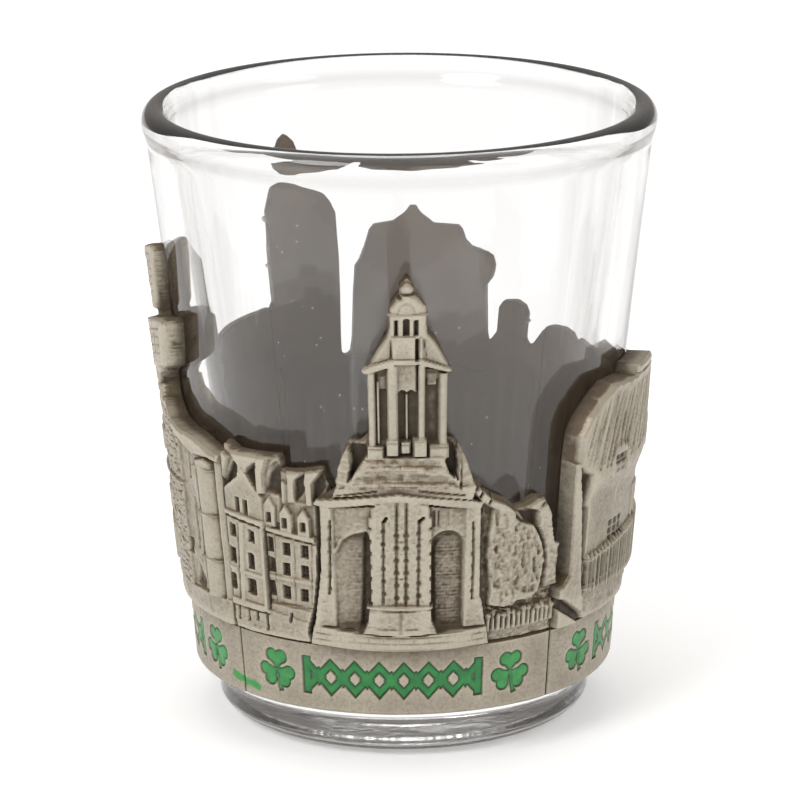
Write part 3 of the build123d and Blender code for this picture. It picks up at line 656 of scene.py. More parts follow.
def row_house(r):
    """Narrower house with three dormers and three rows of windows."""
    r.poly([(-12.1, 15.0), (-6.95, 15.0), (-6.75, 22.6), (-12.1, 23.2)], 1.62)
    r.poly([(-12.0, 22.6), (-6.9, 22.2), (-6.9, 26.2), (-9.5, 26.2), (-9.5, 27.8), (-10.1, 27.9),
            (-10.1, 26.4), (-11.8, 26.4)], 1.32)
    for k in range(16):
        at = -11.7 + 0.3 * k
        r.line([(at, 23.0), (at, 25.9)], 0.09, -0.05, "add", 0.08)
    r.poly([(-12.0, 22.9), (-6.9, 22.3), (-6.85, 22.85), (-12.0, 23.4)], 1.85)
    r.line([(-12.0, 22.75), (-6.9, 22.15)], 0.12, 1.45, "carve", 0.1, soot_and_shade=0.7)
    r.poly([(-12.0, 18.15), (-6.9, 18.0), (-6.9, 18.4), (-12.0, 18.55)], 1.75)
    for u0, top, z0, floor_z in ((-11.45, 26.45, 23.4, 24.3), (-9.78, 25.85, 23.0, 24.0),
                                 (-7.95, 25.7, 22.8, 23.8)):
        r.poly([(u0 - 0.66, z0), (u0 + 0.6, z0), (u0 + 0.56, top - 1.0), (u0, top),
                (u0 - 0.62, top - 0.9)], 1.78)
        r.window(u0 - 0.1, floor_z, 0.45, 0.9, 1.25)
    for z0, shift in ((21.35, 0.0), (19.3, -0.12), (16.95, -0.3)):
        r.window(-9.9 + shift, z0, 0.74, 1.2, 1.15, (1, 2), -0.06, 0.06)
        r.window(-8.05 + shift * 0.8, z0 - 0.05, 0.7, 1.2, 1.15, (1, 2), -0.06, 0.06)
        r.window(-11.65 + shift * 0.4, z0 + 0.2, 0.62, 1.35, 1.15, (0, 1), -0.06)
    for u0 in (-11.15, -9.05, -7.3):
        r.line([(u0, 22.4), (u0 - 0.25, 15.9)], 0.1, -0.12, "add", 0.1, soot_and_shade=0.35)
    r.line([(-12.1, 15.85), (-7.1, 15.65)], 0.12, -0.12, "add", 0.1, soot_and_shade=0.45)
    r.line([(-12.15, 23.0), (-12.1, 15.0)], 0.14, 1.4, "carve", 0.1, soot_and_shade=0.9)


def row_chimneys(r):
    """Chimneys of the row house."""
    r.poly([(-9.55, 26.0), (-8.85, 26.1), (-8.75, 28.3), (-8.0, 29.0), (-7.7, 29.2), (-9.7, 29.2),
            (-9.5, 28.4)], 1.55)
    r.poly([(-7.65, 26.0), (-7.05, 26.0), (-6.95, 28.3), (-6.2, 29.3), (-6.1, 29.6), (-7.6, 29.4),
            (-7.75, 28.4)], 1.7)
    r.poly([(-8.8, 26.3), (-8.65, 28.4), (-7.85, 28.9), (-7.7, 27.7), (-8.2, 26.9)], 0.9, "carve",
           0.14, soot_and_shade=1.0)
    r.poly([(-6.95, 26.4), (-6.85, 28.2), (-6.15, 29.2), (-5.8, 27.9), (-6.4, 27.1)], 0.85,
           "carve", 0.14, soot_and_shade=1.0)
    r.line([(-10.0, 26.0), (-10.0, 27.9)], 0.35, 1.5, "raise", 0.2)


def house_planting(r):
    """Gap beside the tower, painted black as shadow, and planting at the foot of the houses."""
    # painted shadow: the gap beside the tower is carved and filled with black
    r.poly([(-6.75, 26.3), (-6.05, 26.1), (-6.15, 22.0), (-6.5, 18.2), (-6.95, 15.6),
            (-7.6, 13.2), (-7.8, 12.6), (-8.0, 13.4), (-7.35, 15.8), (-6.95, 18.4),
            (-6.75, 22.0)], 0.85, "carve", 0.16, soot_and_shade=1.0)
    # planted bank
    r.leaves([(-17.4, 12.2), (-7.9, 12.2), (-7.5, 13.6), (-12.4, 13.8), (-17.4, 14.2)], 0.16,
             0.6, 21)
    for u0, z0, z1 in ((-16.2, 13.2, 14.4), (-14.9, 13.3, 14.5), (-12.6, 12.8, 14.5),
                       (-9.85, 14.1, 14.8), (-13.8, 13.6, 14.4)):
        r.line([(u0, z0), (u0 + 0.1, z1)], 0.22, 1.4, "carve", 0.2, soot_and_shade=0.7)
    r.line([(-17.4, 14.55), (-12.2, 14.45)], 0.12, -0.2, "add", 0.12, soot_and_shade=0.6)


def townhouses(r):
    """Left third of the bell tower panel: two tall houses behind a planted bank, outline first."""
    r.skyline([(-18, 10), (-18, 31.2), (-16.4, 30.7), (-15.4, 30.2), (-13.0, 30.3), (-10.6, 30.5),
               (-10.3, 30.2), (-10.3, 29.2), (-9.6, 29.15), (-8.0, 29.4), (-6.5, 29.75),
               (-6.1, 29.7), (-5.9, 28.6), (-5.5, 28.0), (-5.2, 10)])
    r.box(-18, -6.2, 12, 30, 1.15)
    for part in (house_bank, gabled_house, gable_chimneys, row_house, row_chimneys, house_planting):
        part(r)


def tower_face(u):
    """Depth of the corner-on tower walls, nearest at the corner."""
    return 2.72 - 0.155 * np.abs(u - 0.9)


def plinth(r):
    """Stepped stone under the tower."""
    r.poly([(-7.75, 12.2), (9.35, 12.2), (9.05, 14.1), (4.3, 13.95), (1.0, 13.8), (-2.4, 13.95),
            (-7.3, 14.3)], lambda u, z: 2.95 - 0.012 * (u - 0.9) ** 2)
    r.masonry([(-7.6, 12.2), (9.2, 12.2), (9.0, 14.0), (1.0, 13.75), (-7.2, 14.1)], 0.62, 1.35,
              0.09, 3, lambda u: 0.0028 * (u - 0.9) ** 2)


def corner_walls(r):
    """Two walls that meet at the near corner."""
    r.poly([(-7.1, 14.2), (-2.3, 14.0), (4.2, 14.0), (8.9, 14.1), (8.45, 17.0), (8.3, 26.2),
            (0.9, 27.4), (-6.1, 26.6), (-6.3, 20.0), (-6.7, 17.0)], lambda u, z: tower_face(u))


def left_niche(r):
    """Niche of the left wall, with dark patina and painted deep shadow against the corner pier."""
    r.poly([(-5.0, 14.4), (-1.6, 14.1), (-1.5, 22.6), (-1.75, 23.6), (-2.1, 23.95), (-2.9, 23.7),
            (-4.2, 23.3), (-4.8, 22.6)],
           lambda u, z: 1.75 - 0.22 * np.clip(u + 4.9, 0, 3.4), "carve", 0.3)
    r.line([(-4.95, 21.8), (-4.3, 23.1), (-3.2, 23.9), (-2.3, 24.15), (-1.6, 23.6)], 0.3, 2.1,
           "raise", 0.25)
    # dark patina and painted shadow in the deepest part of the niche, against the pier
    r.poly([(-2.75, 14.2), (-2.0, 14.15), (-1.75, 16.4), (-1.5, 18.0), (-1.45, 22.6), (-1.6, 23.4),
            (-2.05, 23.95), (-2.35, 23.2), (-2.45, 20.0)], 0.85, "carve", 0.4, soot_and_shade=0.75)
    r.masonry([(-4.0, 15.0), (-2.4, 15.0), (-2.3, 22.0), (-3.4, 22.6), (-4.0, 22.0)], 0.36, 0.8,
              0.05, 9)
    r.poly([(-7.2, 14.25), (-5.0, 14.2), (-5.05, 26.2), (-6.2, 26.3), (-6.35, 20.0), (-6.75, 17.2)],
           2.15)
    r.line([(-5.25, 24.9), (-5.35, 22.4), (-5.45, 20.0), (-5.6, 17.6)], 0.16, 1.75, "carve", 0.18,
           soot_and_shade=0.4)
    for k in range(6):
        r.disc(-5.32 - 0.045 * k, 24.3 - 1.25 * k, 0.17, 1.8, "carve", 0.18, soot_and_shade=0.3)


def right_niche(r):
    """Arched niche of the right wall, lined with brick, with a painted shadow down its left side."""
    r.arch(3.6, 6.7, 14.05, 22.4, 1.3, "carve", 0.25, soot_and_shade=0.25)
    r.masonry([(3.8, 14.2), (6.6, 14.2), (6.6, 22.6), (5.1, 23.9), (3.8, 22.6)], 0.34, 0.62, 0.08,
              5)
    # painted shadow cast by the niche's left edge onto its inside
    r.poly([(3.5, 14.1), (4.15, 14.1), (4.1, 22.0), (4.4, 23.0), (3.9, 22.8)], 0.95, "carve", 0.35,
           soot_and_shade=0.65)
    r.line([(6.75, 14.3), (6.85, 24.6)], 0.12, 1.7, "carve", 0.2, soot_and_shade=0.3)
    for u0 in (3.9, 4.35, 5.25, 5.75, 6.55):
        r.line([(u0, 24.6), (u0, 26.3 - 0.06 * u0)], 0.14, 1.95, "carve", 0.16, soot_and_shade=0.25)
    for k in range(7):
        angle = math.pi * (0.12 + 0.76 * k / 6)
        c, s = math.cos(angle), math.sin(angle)
        r.line([(5.02 + 1.5 * c, 22.55 + 1.5 * s), (5.02 + 2.0 * c, 22.55 + 2.0 * s)], 0.09, -0.1,
               "add", 0.1)
    r.poly([(6.8, 14.15), (9.0, 14.1), (8.6, 16.6), (8.35, 17.2), (8.25, 26.0), (6.85, 26.2)],
           2.0)
    r.line([(7.55, 24.6), (7.65, 21.0), (7.6, 17.0)], 0.16, 1.65, "carve", 0.18, soot_and_shade=0.4)
    for k in range(6):
        r.disc(7.6, 24.0 - 1.25 * k, 0.17, 1.7, "carve", 0.18, soot_and_shade=0.3)


def corner_pier(r):
    """Corner pier with paired pilasters on a moulded base."""
    r.poly([(-1.55, 16.8), (3.55, 16.8), (3.5, 26.9), (0.9, 27.4), (-1.45, 26.9)], 2.95)
    for k in range(7):
        z0 = 17.7 + 1.25 * k
        r.box(-1.68, -1.0, z0 - 0.5, z0 + 0.5, 3.0, "raise", 0.16)
        r.box(3.0, 3.7, z0 - 0.5, z0 + 0.5, 3.0, "raise", 0.16)
    for u0, low, high, width in ((-0.42, 17.2, 25.3, 0.22), (0.72, 16.8, 27.1, 0.26),
                                 (1.55, 16.8, 27.1, 0.26), (2.62, 17.0, 25.4, 0.24)):
        r.line([(u0 - 0.12, low), (u0, high)], width * 0.85, 2.65, "carve", 0.2, soot_and_shade=0.32)
        for k in range(6):
            r.disc(u0 - 0.06, low + 0.9 + 1.25 * k, width * 0.8, 2.6, "carve", 0.2, soot_and_shade=0.35)
            r.line([(u0 - 0.5, low + 0.3 + 1.25 * k), (u0 + 0.4, low + 0.3 + 1.25 * k)], 0.08,
                   -0.07, "add", 0.12)
    r.line([(-0.4, 25.3), (-0.15, 25.7)], 0.2, 2.4, "carve", 0.13, soot_and_shade=0.7)
    r.line([(2.62, 25.3), (2.95, 25.7)], 0.2, 2.4, "carve", 0.13, soot_and_shade=0.7)
    r.poly([(-2.45, 14.0), (1.0, 13.75), (4.25, 14.0), (3.75, 15.4), (3.65, 16.9), (-1.8, 16.9),
            (-1.9, 15.4)], 3.15)
    r.line([(-1.9, 16.75), (1.0, 16.65), (3.7, 16.75)], 0.3, 3.3, "raise", 0.16)
    r.line([(-1.8, 16.45), (1.0, 16.35), (3.6, 16.45)], 0.1, -0.12, "add", 0.1, soot_and_shade=0.45)
    r.line([(0.95, 14.2), (1.0, 16.3)], 0.3, -0.1, "add", 0.2, soot_and_shade=0.3)
    r.line([(-2.2, 14.7), (1.0, 14.5), (4.0, 14.7)], 0.1, -0.09, "add", 0.1, soot_and_shade=0.3)


def entablature(r):
    """Mouldings that run round both walls over their arches."""
    r.poly([(-6.2, 25.9), (0.9, 26.9), (8.3, 25.8), (8.3, 26.2), (0.9, 27.5), (-6.2, 26.4)],
           lambda u, z: tower_face(u) + 0.1)
    r.poly([(-6.95, 26.35), (-6.6, 26.15), (-4.8, 26.25), (0.9, 27.35), (6.9, 26.1), (8.35, 26.0),
            (8.5, 26.5), (7.4, 26.9), (0.9, 28.1), (-4.9, 27.1), (-6.6, 26.85)],
           lambda u, z: tower_face(u) + 0.42)
    r.line([(-4.7, 26.15), (-1.2, 26.8)], 0.14, 1.9, "carve", 0.16, soot_and_shade=0.5)
    r.line([(3.5, 26.75), (6.8, 26.0)], 0.14, 1.9, "carve", 0.16, soot_and_shade=0.5)


def belfry_base(r):
    """Stepped base of the belfry, with scrolls at its sides."""
    r.poly([(-5.0, 27.2), (0.9, 28.0), (7.4, 26.9), (7.8, 28.3), (6.3, 28.4), (5.0, 31.5),
            (-1.9, 31.5), (-3.9, 28.3), (-4.8, 28.2)],
           lambda u, z: 2.5 - 0.055 * np.abs(u - 1.4) - 0.07 * (z - 28))
    r.line([(-4.7, 27.45), (-1.0, 28.15)], 0.12, -0.2, "add", 0.1, soot_and_shade=0.6)
    r.line([(2.6, 28.2), (6.6, 27.5)], 0.12, -0.2, "add", 0.1, soot_and_shade=0.5)
    base = [(-3.4, 28.3), (6.2, 28.3), (5.0, 31.4), (-1.9, 31.4)]
    r.masonry(base, 0.52, 1.3, 0.08, 7, lambda u: 0.02 * (u - 1.4) ** 2)
    r.grain(base, lambda u, z: 0.12 * value_noise(u, z, 0.55, 0.4, 8)
            + 0.12 * np.sin(z * 4.2 + 0.1 * u * u))
    walls = [(-7.0, 14.2), (9.0, 14.2), (8.3, 26.2), (0.9, 27.4), (-6.2, 26.4)]
    r.grain(walls, lambda u, z: 0.05 * value_noise(u, z, 0.3, 0.24, 6)
            + 0.04 * value_noise(u, z, 0.9, 0.35, 10))
    r.poly([(-4.75, 27.6), (-3.9, 27.9), (-3.5, 28.9), (-3.25, 30.4), (-3.2, 31.6), (-3.55, 32.3),
            (-3.95, 31.6), (-4.35, 30.4), (-4.65, 29.0)],
           lambda u, z: 2.15 + 0.18 * np.sin(z * 5.2 + u))
    r.poly([(-3.35, 32.5), (-2.1, 32.4), (-1.75, 31.8), (-2.6, 30.5), (-3.3, 29.1), (-3.45, 29.4),
            (-3.1, 30.8)], 0.8, "carve", 0.16, soot_and_shade=1.0)
    r.poly([(-5.9, 27.3), (-4.75, 27.9), (-4.7, 30.3), (-5.2, 29.2)], 0.85, "carve", 0.16,
           soot_and_shade=1.0)
    r.poly([(6.0, 27.9), (7.7, 28.2), (7.25, 29.6), (6.75, 31.2), (6.15, 32.5), (5.95, 31.6),
            (6.1, 30.0)], lambda u, z: 2.1 + 0.14 * np.sin(z * 4.6 - 2 * u))
    r.line([(6.3, 28.2), (6.35, 30.2), (6.25, 31.8)], 0.16, -0.3, "add", 0.14, soot_and_shade=0.6)
    r.poly([(4.95, 30.9), (4.95, 32.3), (5.3, 32.75), (5.8, 32.4), (5.95, 31.2), (6.05, 30.0),
            (5.75, 29.25), (5.3, 29.8)], 0.8, "carve", 0.16, soot_and_shade=1.0)


def belfry(r):
    """Dark openings behind columns."""
    r.box(-1.7, 5.1, 31.4, 40.0, 1.35, "raise")
    for u0, u1, low, high in ((-1.02, -0.9, 32.6, 39.4), (-0.66, -0.02, 33.0, 38.2),
                              (0.92, 2.55, 33.0, 37.6), (3.12, 4.3, 32.8, 38.6)):
        r.arch(u0, u1, low, high, 1.0, "carve", 0.2, soot_and_shade=0.45)
    r.poly([(-0.66, 38.0), (-0.02, 38.0), (-0.05, 39.5), (-0.6, 39.2)], 1.5, "raise", 0.2)
    r.poly([(3.3, 38.3), (4.2, 38.3), (4.2, 39.5), (3.3, 39.6)], 1.45, "raise", 0.2)
    r.column(-1.32, 32.3, 39.7, 0.34, 1.95)
    r.column(-0.8, 32.6, 38.8, 0.16, 1.6)
    r.column(0.45, 33.0, 40.5, 0.46, 2.25)
    r.column(1.62, 32.8, 37.6, 0.13, 1.55)
    r.column(2.85, 33.0, 40.5, 0.3, 2.2)
    r.column(4.72, 32.4, 39.6, 0.38, 1.95)
    r.box(0.78, 2.5, 37.7, 41.0, 1.85, "raise", 0.3)
    r.disc(1.25, 37.65, 0.3, 1.1, "carve", 0.12, soot_and_shade=0.8)
    r.disc(1.98, 37.65, 0.3, 1.1, "carve", 0.12, soot_and_shade=0.8)
    r.line([(2.52, 38.0), (2.52, 41.2)], 0.16, 1.3, "carve", 0.12, soot_and_shade=0.7)
    for u0, u1, z0, z1, depth in ((-1.78, -0.3, 31.2, 32.5, 2.1), (-0.12, 0.95, 31.6, 33.25, 2.4),
                                  (1.1, 1.95, 31.8, 33.0, 2.15), (2.15, 3.3, 31.5, 33.3, 2.35),
                                  (3.5, 5.25, 31.2, 32.6, 2.1)):
        r.box(u0, u1, z0, z1, depth)
        r.line([(u0, z1 - 0.3), (u1, z1 - 0.3)], 0.1, -0.12, "add", 0.1, soot_and_shade=0.4)
    for u0 in (-0.25, 0.98, 2.02, 3.42):
        r.line([(u0, 31.5), (u0, 32.4)], 0.18, 1.6, "carve", 0.16, soot_and_shade=0.4)
    # dark wash left over the whole belfry
    r.box(-1.9, 5.3, 31.3, 40.3, 0.0, "add", 0.4, soot_and_shade=0.2)


def lantern(r):
    """Cornice, swept roof, lantern, dome and ball."""
    r.poly([(-2.1, 39.65), (-1.75, 39.5), (-0.1, 40.1), (0.7, 40.5), (2.6, 40.5), (4.0, 40.0),
            (5.3, 39.6), (5.38, 40.05), (3.0, 41.05), (2.4, 41.1), (0.1, 41.0), (-1.2, 40.5),
            (-2.0, 40.15)], 2.25)
    r.poly([(-1.5, 40.35), (0.1, 40.95), (2.9, 41.0), (5.2, 40.15), (4.6, 41.5), (4.0, 42.6),
            (3.4, 43.4), (3.2, 44.0), (0.3, 44.0), (0.0, 43.1), (-0.8, 41.8)],
           lambda u, z: 1.95 - 0.11 * (z - 40.4) - 0.07 * np.abs(u - 1.7))
    r.line([(0.35, 41.2), (0.5, 43.2)], 0.14, -0.22, "add", 0.14, soot_and_shade=0.5)
    r.line([(2.5, 41.0), (2.45, 42.9)], 0.22, 1.25, "carve", 0.14, soot_and_shade=0.85)
    r.line([(2.85, 41.0), (2.8, 43.0)], 0.24, 1.95, "raise", 0.16)
    r.line([(3.25, 41.3), (3.05, 42.8)], 0.12, -0.15, "add", 0.12, soot_and_shade=0.4)
    r.poly([(0.5, 40.9), (2.3, 40.9), (2.4, 43.2), (0.42, 43.2)], 2.0)
    r.poly([(0.3, 42.9), (3.25, 42.9), (3.25, 45.15), (0.25, 45.15)], 1.75)
    for u0, width, high in ((0.82, 0.22, 44.75), (1.62, 0.48, 44.85), (2.42, 0.28, 44.75)):
        r.arch(u0 - width / 2, u0 + width / 2, 43.3, high - width / 2, 1.1, "carve", 0.13,
               soot_and_shade=0.7)
    r.line([(0.15, 45.2), (3.4, 45.2)], 0.2, 1.85, "raise", 0.14)
    r.poly([(0.15, 45.1), (3.4, 45.1), (3.35, 45.9), (2.8, 46.6), (2.3, 47.1), (1.15, 47.1),
            (0.8, 46.6), (0.35, 45.9)],
           lambda u, z: 0.95 + 0.7 * np.sqrt(np.clip(1 - ((u - 1.75) / 1.8) ** 2
                                                     - ((z - 45.2) / 4.2) ** 2, 0, 1)))
    r.line([(0.95, 45.4), (1.15, 46.0), (1.65, 46.4), (2.15, 46.0), (2.35, 45.4)], 0.12, -0.12,
           "add", 0.14, soot_and_shade=0.2)
    r.line([(0.8, 47.1), (1.1, 46.8)], 0.36, 0.9, "carve", 0.2, soot_and_shade=0.8)
    r.disc(1.72, 47.6, 0.55, lambda u, z: 0.85 + 0.5 * np.sqrt(np.clip(
        1 - ((u - 1.72) / 0.6) ** 2 - ((z - 47.6) / 0.7) ** 2, 0, 1)))
    r.line([(1.25, 47.1), (2.25, 47.05)], 0.12, 1.05, "carve", 0.14, soot_and_shade=0.3)


def bell_tower(r):
    """Middle of the bell tower panel: plinth, corner-on arched stage, belfry and cap."""
    r.skyline([(-6.9, 10), (-6.7, 26.3), (-5.0, 28.0), (-4.7, 28.6), (-4.6, 30.4), (-4.2, 31.2),
               (-3.9, 32.2), (-3.5, 32.75), (-2.6, 32.7), (-2.0, 33.2), (-1.75, 33.6),
               (-1.72, 39.4), (-2.12, 39.8), (-1.95, 40.2), (-1.35, 40.7), (-0.7, 42.0),
               (-0.1, 43.1), (0.1, 44.0), (0.05, 45.0), (0.25, 45.9), (0.75, 46.7), (1.05, 47.1),
               (1.05, 47.6), (1.3, 48.1), (1.7, 48.6), (2.1, 48.1), (2.35, 47.6), (2.3, 47.1),
               (2.8, 46.7), (3.3, 46.0), (3.45, 45.2), (3.35, 44.2), (3.5, 43.5), (4.1, 42.7),
               (4.8, 41.2), (5.4, 40.1), (5.35, 39.75), (5.15, 39.3), (5.15, 33.6), (5.2, 33.0),
               (5.7, 32.75), (6.2, 32.6), (6.8, 31.4), (7.3, 29.9), (7.7, 28.8), (8.6, 27.9),
               (8.6, 10)])
    parts = (plinth, corner_walls, left_niche, right_niche, corner_pier, entablature, belfry_base,
             belfry, lantern)
    for part in parts:
        part(r)


def railing(r):
    """Small uprights on a low bank."""
    r.poly([(9.0, 12.2), (18, 12.2), (18, 15.4), (12.0, 15.2), (9.0, 15.3)], 1.35)
    r.leaves([(9.2, 12.2), (18, 12.2), (18, 13.6), (9.0, 13.6)], 0.22, 0.55, 37)
    for k in range(15):
        at = 9.35 + 0.55 * k
        tall = 14.7 + 0.3 * math.sin(k * 1.9)
        width = 0.17 + 0.04 * math.sin(k * 3.1)
        r.poly([(at - width, 13.3), (at + width, 13.2), (at + width * 1.3, tall),
                (at - width * 0.8, tall + 0.15)], 1.75, "raise", 0.2)
        r.disc(at + 0.05 * math.sin(k), tall + 0.2, 0.26, 1.8, "raise", 0.22)
        r.line([(at + 0.29, 13.6 + 0.15 * math.sin(k * 2.2)), (at + 0.27, 14.6)], 0.13, 1.15,
               "carve", 0.16, soot_and_shade=0.75)
    r.leaves([(9.0, 14.5), (18, 14.7), (18, 16.4), (9.0, 15.9)], 0.3, 0.42, 38)
    r.line([(9.2, 15.9), (11.0, 15.5), (13.5, 15.9), (18, 16.3)], 0.16, 1.35, "carve", 0.2, soot_and_shade=0.6)


def ivy_bank(r):
    """Right third of the bell tower panel: ivy-covered slope, tree trunk and low railing."""
    r.skyline([(7.4, 10), (7.4, 28.9), (8.15, 28.35), (9.0, 27.45), (10.2, 26.65), (11.2, 26.2),
               (12.0, 25.3), (13.0, 25.4), (14.3, 26.0), (15.3, 25.9), (15.9, 24.9),
               (16.2, 23.6), (16.5, 22.3), (18, 21.2), (18, 10)])
    r.poly([(8.2, 12.2), (18, 12.2), (18, 21.0), (14.4, 23.4), (11.8, 25.2), (8.3, 27.8)], 1.2)
    r.poly([(7.5, 27.6), (8.2, 27.9), (9.4, 26.6), (10.8, 25.9), (11.8, 25.0), (11.6, 24.2),
            (9.6, 25.6), (8.4, 26.4)], 1.9)
    for u0, z0 in ((8.2, 27.0), (9.1, 26.3)):
        r.line([(u0, z0), (u0 + 0.4, z0 + 0.8)], 0.2, -0.5, "add", 0.16, soot_and_shade=0.8)
    r.poly([(9.3, 15.6), (11.2, 15.0), (12.2, 15.9), (13.6, 15.8), (14.6, 16.4), (15.2, 19.0),
            (15.2, 20.6), (14.4, 22.2), (13.7, 23.4), (12.4, 23.9), (11.4, 24.8), (9.5, 25.6),
            (9.0, 22.0), (9.4, 18.0)], lambda u, z: 1.9 + 0.12 * np.cos((u - 12) * 0.9))
    r.poly([(15.3, 16.8), (18, 16.9), (18, 20.8), (16.6, 21.2), (16.0, 22.8), (15.6, 24.4),
            (15.1, 25.3), (14.2, 24.9), (14.3, 23.2), (15.2, 21.4), (15.5, 19.0)], 1.95)
    r.poly([(13.0, 25.1), (14.5, 25.8), (15.2, 25.7), (14.4, 24.9), (14.2, 24.7)], 1.7)
    r.poly([(12.3, 24.9), (14.1, 24.6), (14.25, 23.2), (13.1, 23.8)], 0.9, "carve", 0.16, soot_and_shade=1.0)
    r.poly([(15.7, 24.8), (16.1, 23.8), (16.4, 22.0), (18, 21.2), (18, 20.7), (16.3, 21.2),
            (15.8, 23.2)], 0.9, "carve", 0.2, soot_and_shade=0.9)
    r.line([(13.9, 23.3), (14.9, 21.5), (15.3, 20.0), (15.1, 18.2), (14.8, 16.9)], 0.2, 1.35,
           "carve", 0.18, soot_and_shade=0.75)
    r.line([(9.6, 15.7), (11.2, 15.1), (12.2, 16.0), (13.6, 15.8), (14.7, 16.5), (16.8, 16.8)],
           0.16, 1.3, "carve", 0.16, soot_and_shade=0.6)
    ivy = [(8.3, 15.6), (14.6, 16.6), (15.2, 20.0), (14.2, 22.8), (12.0, 24.6), (8.4, 26.8)]
    r.grain(ivy, lambda u, z: 0.16 * fractal(u, z * 0.7, 1.6, 31, 4)
            + 0.12 * value_noise(u, z * 0.6, 0.3, 0.3, 32) + 0.08 * value_noise(u, z, 0.16, 0.2, 36)
            - 0.18 * smooth((value_noise(u, z * 0.5, 0.45, 0.45, 34) - 0.3) / 0.4))
    r.leaves([(15.2, 17.0), (18, 17.2), (18, 20.6), (16.2, 22.0), (15.2, 24.8), (14.4, 24.6)],
             0.26, 0.8, 33)
    r.poly([(8.35, 15.8), (9.15, 15.8), (9.3, 20.0), (9.0, 25.6), (8.35, 25.9)],
           lambda u, z: 1.3 + 0.35 * value_noise(u, z, 0.5, 0.8, 35), "carve", 0.4, soot_and_shade=0.35)
    railing(r)


def bell_tower_relief():
    """Townhouses, the bell tower and the ivy bank."""
    r = Relief(49.6)
    townhouses(r)
    ivy_bank(r)
    bell_tower(r)
    return r


# ------------------------------------------------------------------ cottage panel
def rail_height(u):
    """Height of the top rail of the picket fence."""
    return 18.3 + 0.142 * np.minimum(u + 13.7, 7.0) + 0.02 * np.maximum(u + 6.7, 0)


def end_wall(r):
    """Rough end wall that turns back to the glass."""
    r.poly([(-18, 12.2), (-13.2, 12.2), (-13.8, 16.0), (-14.6, 25.0), (-14.9, 27.4),
            (-15.4, 28.5), (-16.2, 28.8)], 2.3)
    r.rough([(-17.6, 14), (-14.2, 14), (-15.0, 27), (-17.6, 29)], (0.06, 0.7, 41), (0.05, 0.3, 45))


def thatch_roof(r):
    """Thatch in long combed strands."""
    thatch = [(-15.5, 28.5), (-14.8, 27.5), (-12.8, 26.6), (-11.2, 26.2), (7.0, 26.2), (7.2, 28.0),
              (6.2, 31.5), (4.4, 33.8), (-0.7, 34.5), (-6.8, 35.2), (-11.2, 35.4), (-13.0, 34.4),
              (-14.5, 33.0), (-15.6, 31.2)]
    r.poly(thatch, lambda u, z: 2.75 - 0.03 * (z - 26), "raise", 0.35)

    def strands(u, z):
        bend = u - 0.3 * (z - 26)
        tuft = value_noise(bend, z * 0.14, 0.5, 0.5, 51)
        fine = value_noise(bend, z * 0.07, 0.22, 0.22, 53)
        inner = smooth(-sd_poly(u, z, thatch) / 0.8)
        return inner * (0.1 * tuft + 0.13 * fine)
    r.grain(thatch, strands)
    for k in range(49):
        at = -14.9 + 0.4 * k
        z0 = 27.0 + 1.4 * abs(math.sin(k * 1.7)) + max(0, -13.4 - at) * 1.6
        long = 4.6 + 1.6 * math.sin(k * 2.3)
        r.line([(at, z0), (at + 0.3 * long, z0 + long)], 0.11, -0.16, "add", 0.16, soot_and_shade=0.45)


def ridge_chimney(r):
    """Broad chimney on the ridge."""
    r.poly([(-7.1, 34.4), (-1.0, 34.2), (-1.0, 36.2), (-7.1, 36.4)], 2.55, "raise", 0.2)
    r.line([(-7.0, 35.3), (-1.0, 35.1)], 0.14, -0.16, "add", 0.14, soot_and_shade=0.3)


def dormers(r):
    """Two dormers under lifted eaves."""
    for u0 in (-9.5, 1.2):
        r.poly([(u0 - 1.8, 25.8), (u0 - 1.6, 27.9), (u0 - 0.9, 29.0), (u0, 29.3),
                (u0 + 0.9, 29.0), (u0 + 1.6, 27.9), (u0 + 1.8, 25.8)], 2.86, "raise", 0.9)
        r.poly([(u0 - 1.15, 25.7), (u0 - 1.1, 28.2), (u0 + 1.1, 28.2), (u0 + 1.15, 25.7)], 2.6,
               "set", 0.3)
        r.panes(u0, 27.25, 2, 3, 0.66, 0.46, 0.2)


def long_wall(r):
    """Plastered wall with windows and a door."""
    r.box(-13.7, 6.6, 15.2, 26.3, 2.15, "raise", 0.2)
    r.box(-13.9, 6.6, 23.8, 27.4, lambda u, z: 2.15 + 0.6 * smooth((z - 23.8) / 3.0), "raise", 0.3)
    r.rough([(-13, 18.6), (6.4, 18.6), (6.4, 25.8), (-13, 25.8)], (0.03, 1.2, 61))
    r.line([(-14.55, 25.3), (-14.2, 21.5), (-13.65, 15.8)], 0.34, 1.35, "carve", 0.18, soot_and_shade=0.95)
    r.poly([(-15.0, 27.5), (-14.5, 27.4), (-14.3, 25.7), (-14.6, 25.2), (-14.9, 26.0)], 1.5,
           "carve", 0.2, soot_and_shade=0.85)
    for u0 in (-8.4, 3.2):
        r.panes(u0, 20.3, 3, 3, 0.78, 0.52, 0.24)
    r.box(-3.5, -1.3, 15.4, 23.2, 2.35, "raise", 0.2)
    r.box(-3.2, -1.6, 15.4, 22.9, 1.75, "carve", 0.16, soot_and_shade=0.55)
    for k in range(5):
        r.line([(-3.0 + 0.3 * k, 15.6), (-3.0 + 0.3 * k, 22.7)], 0.07, -0.12, "add", 0.08,
               soot_and_shade=0.4)
    r.line([(-3.2, 19.0), (-1.6, 19.0)], 0.12, 2.0, "raise", 0.1)


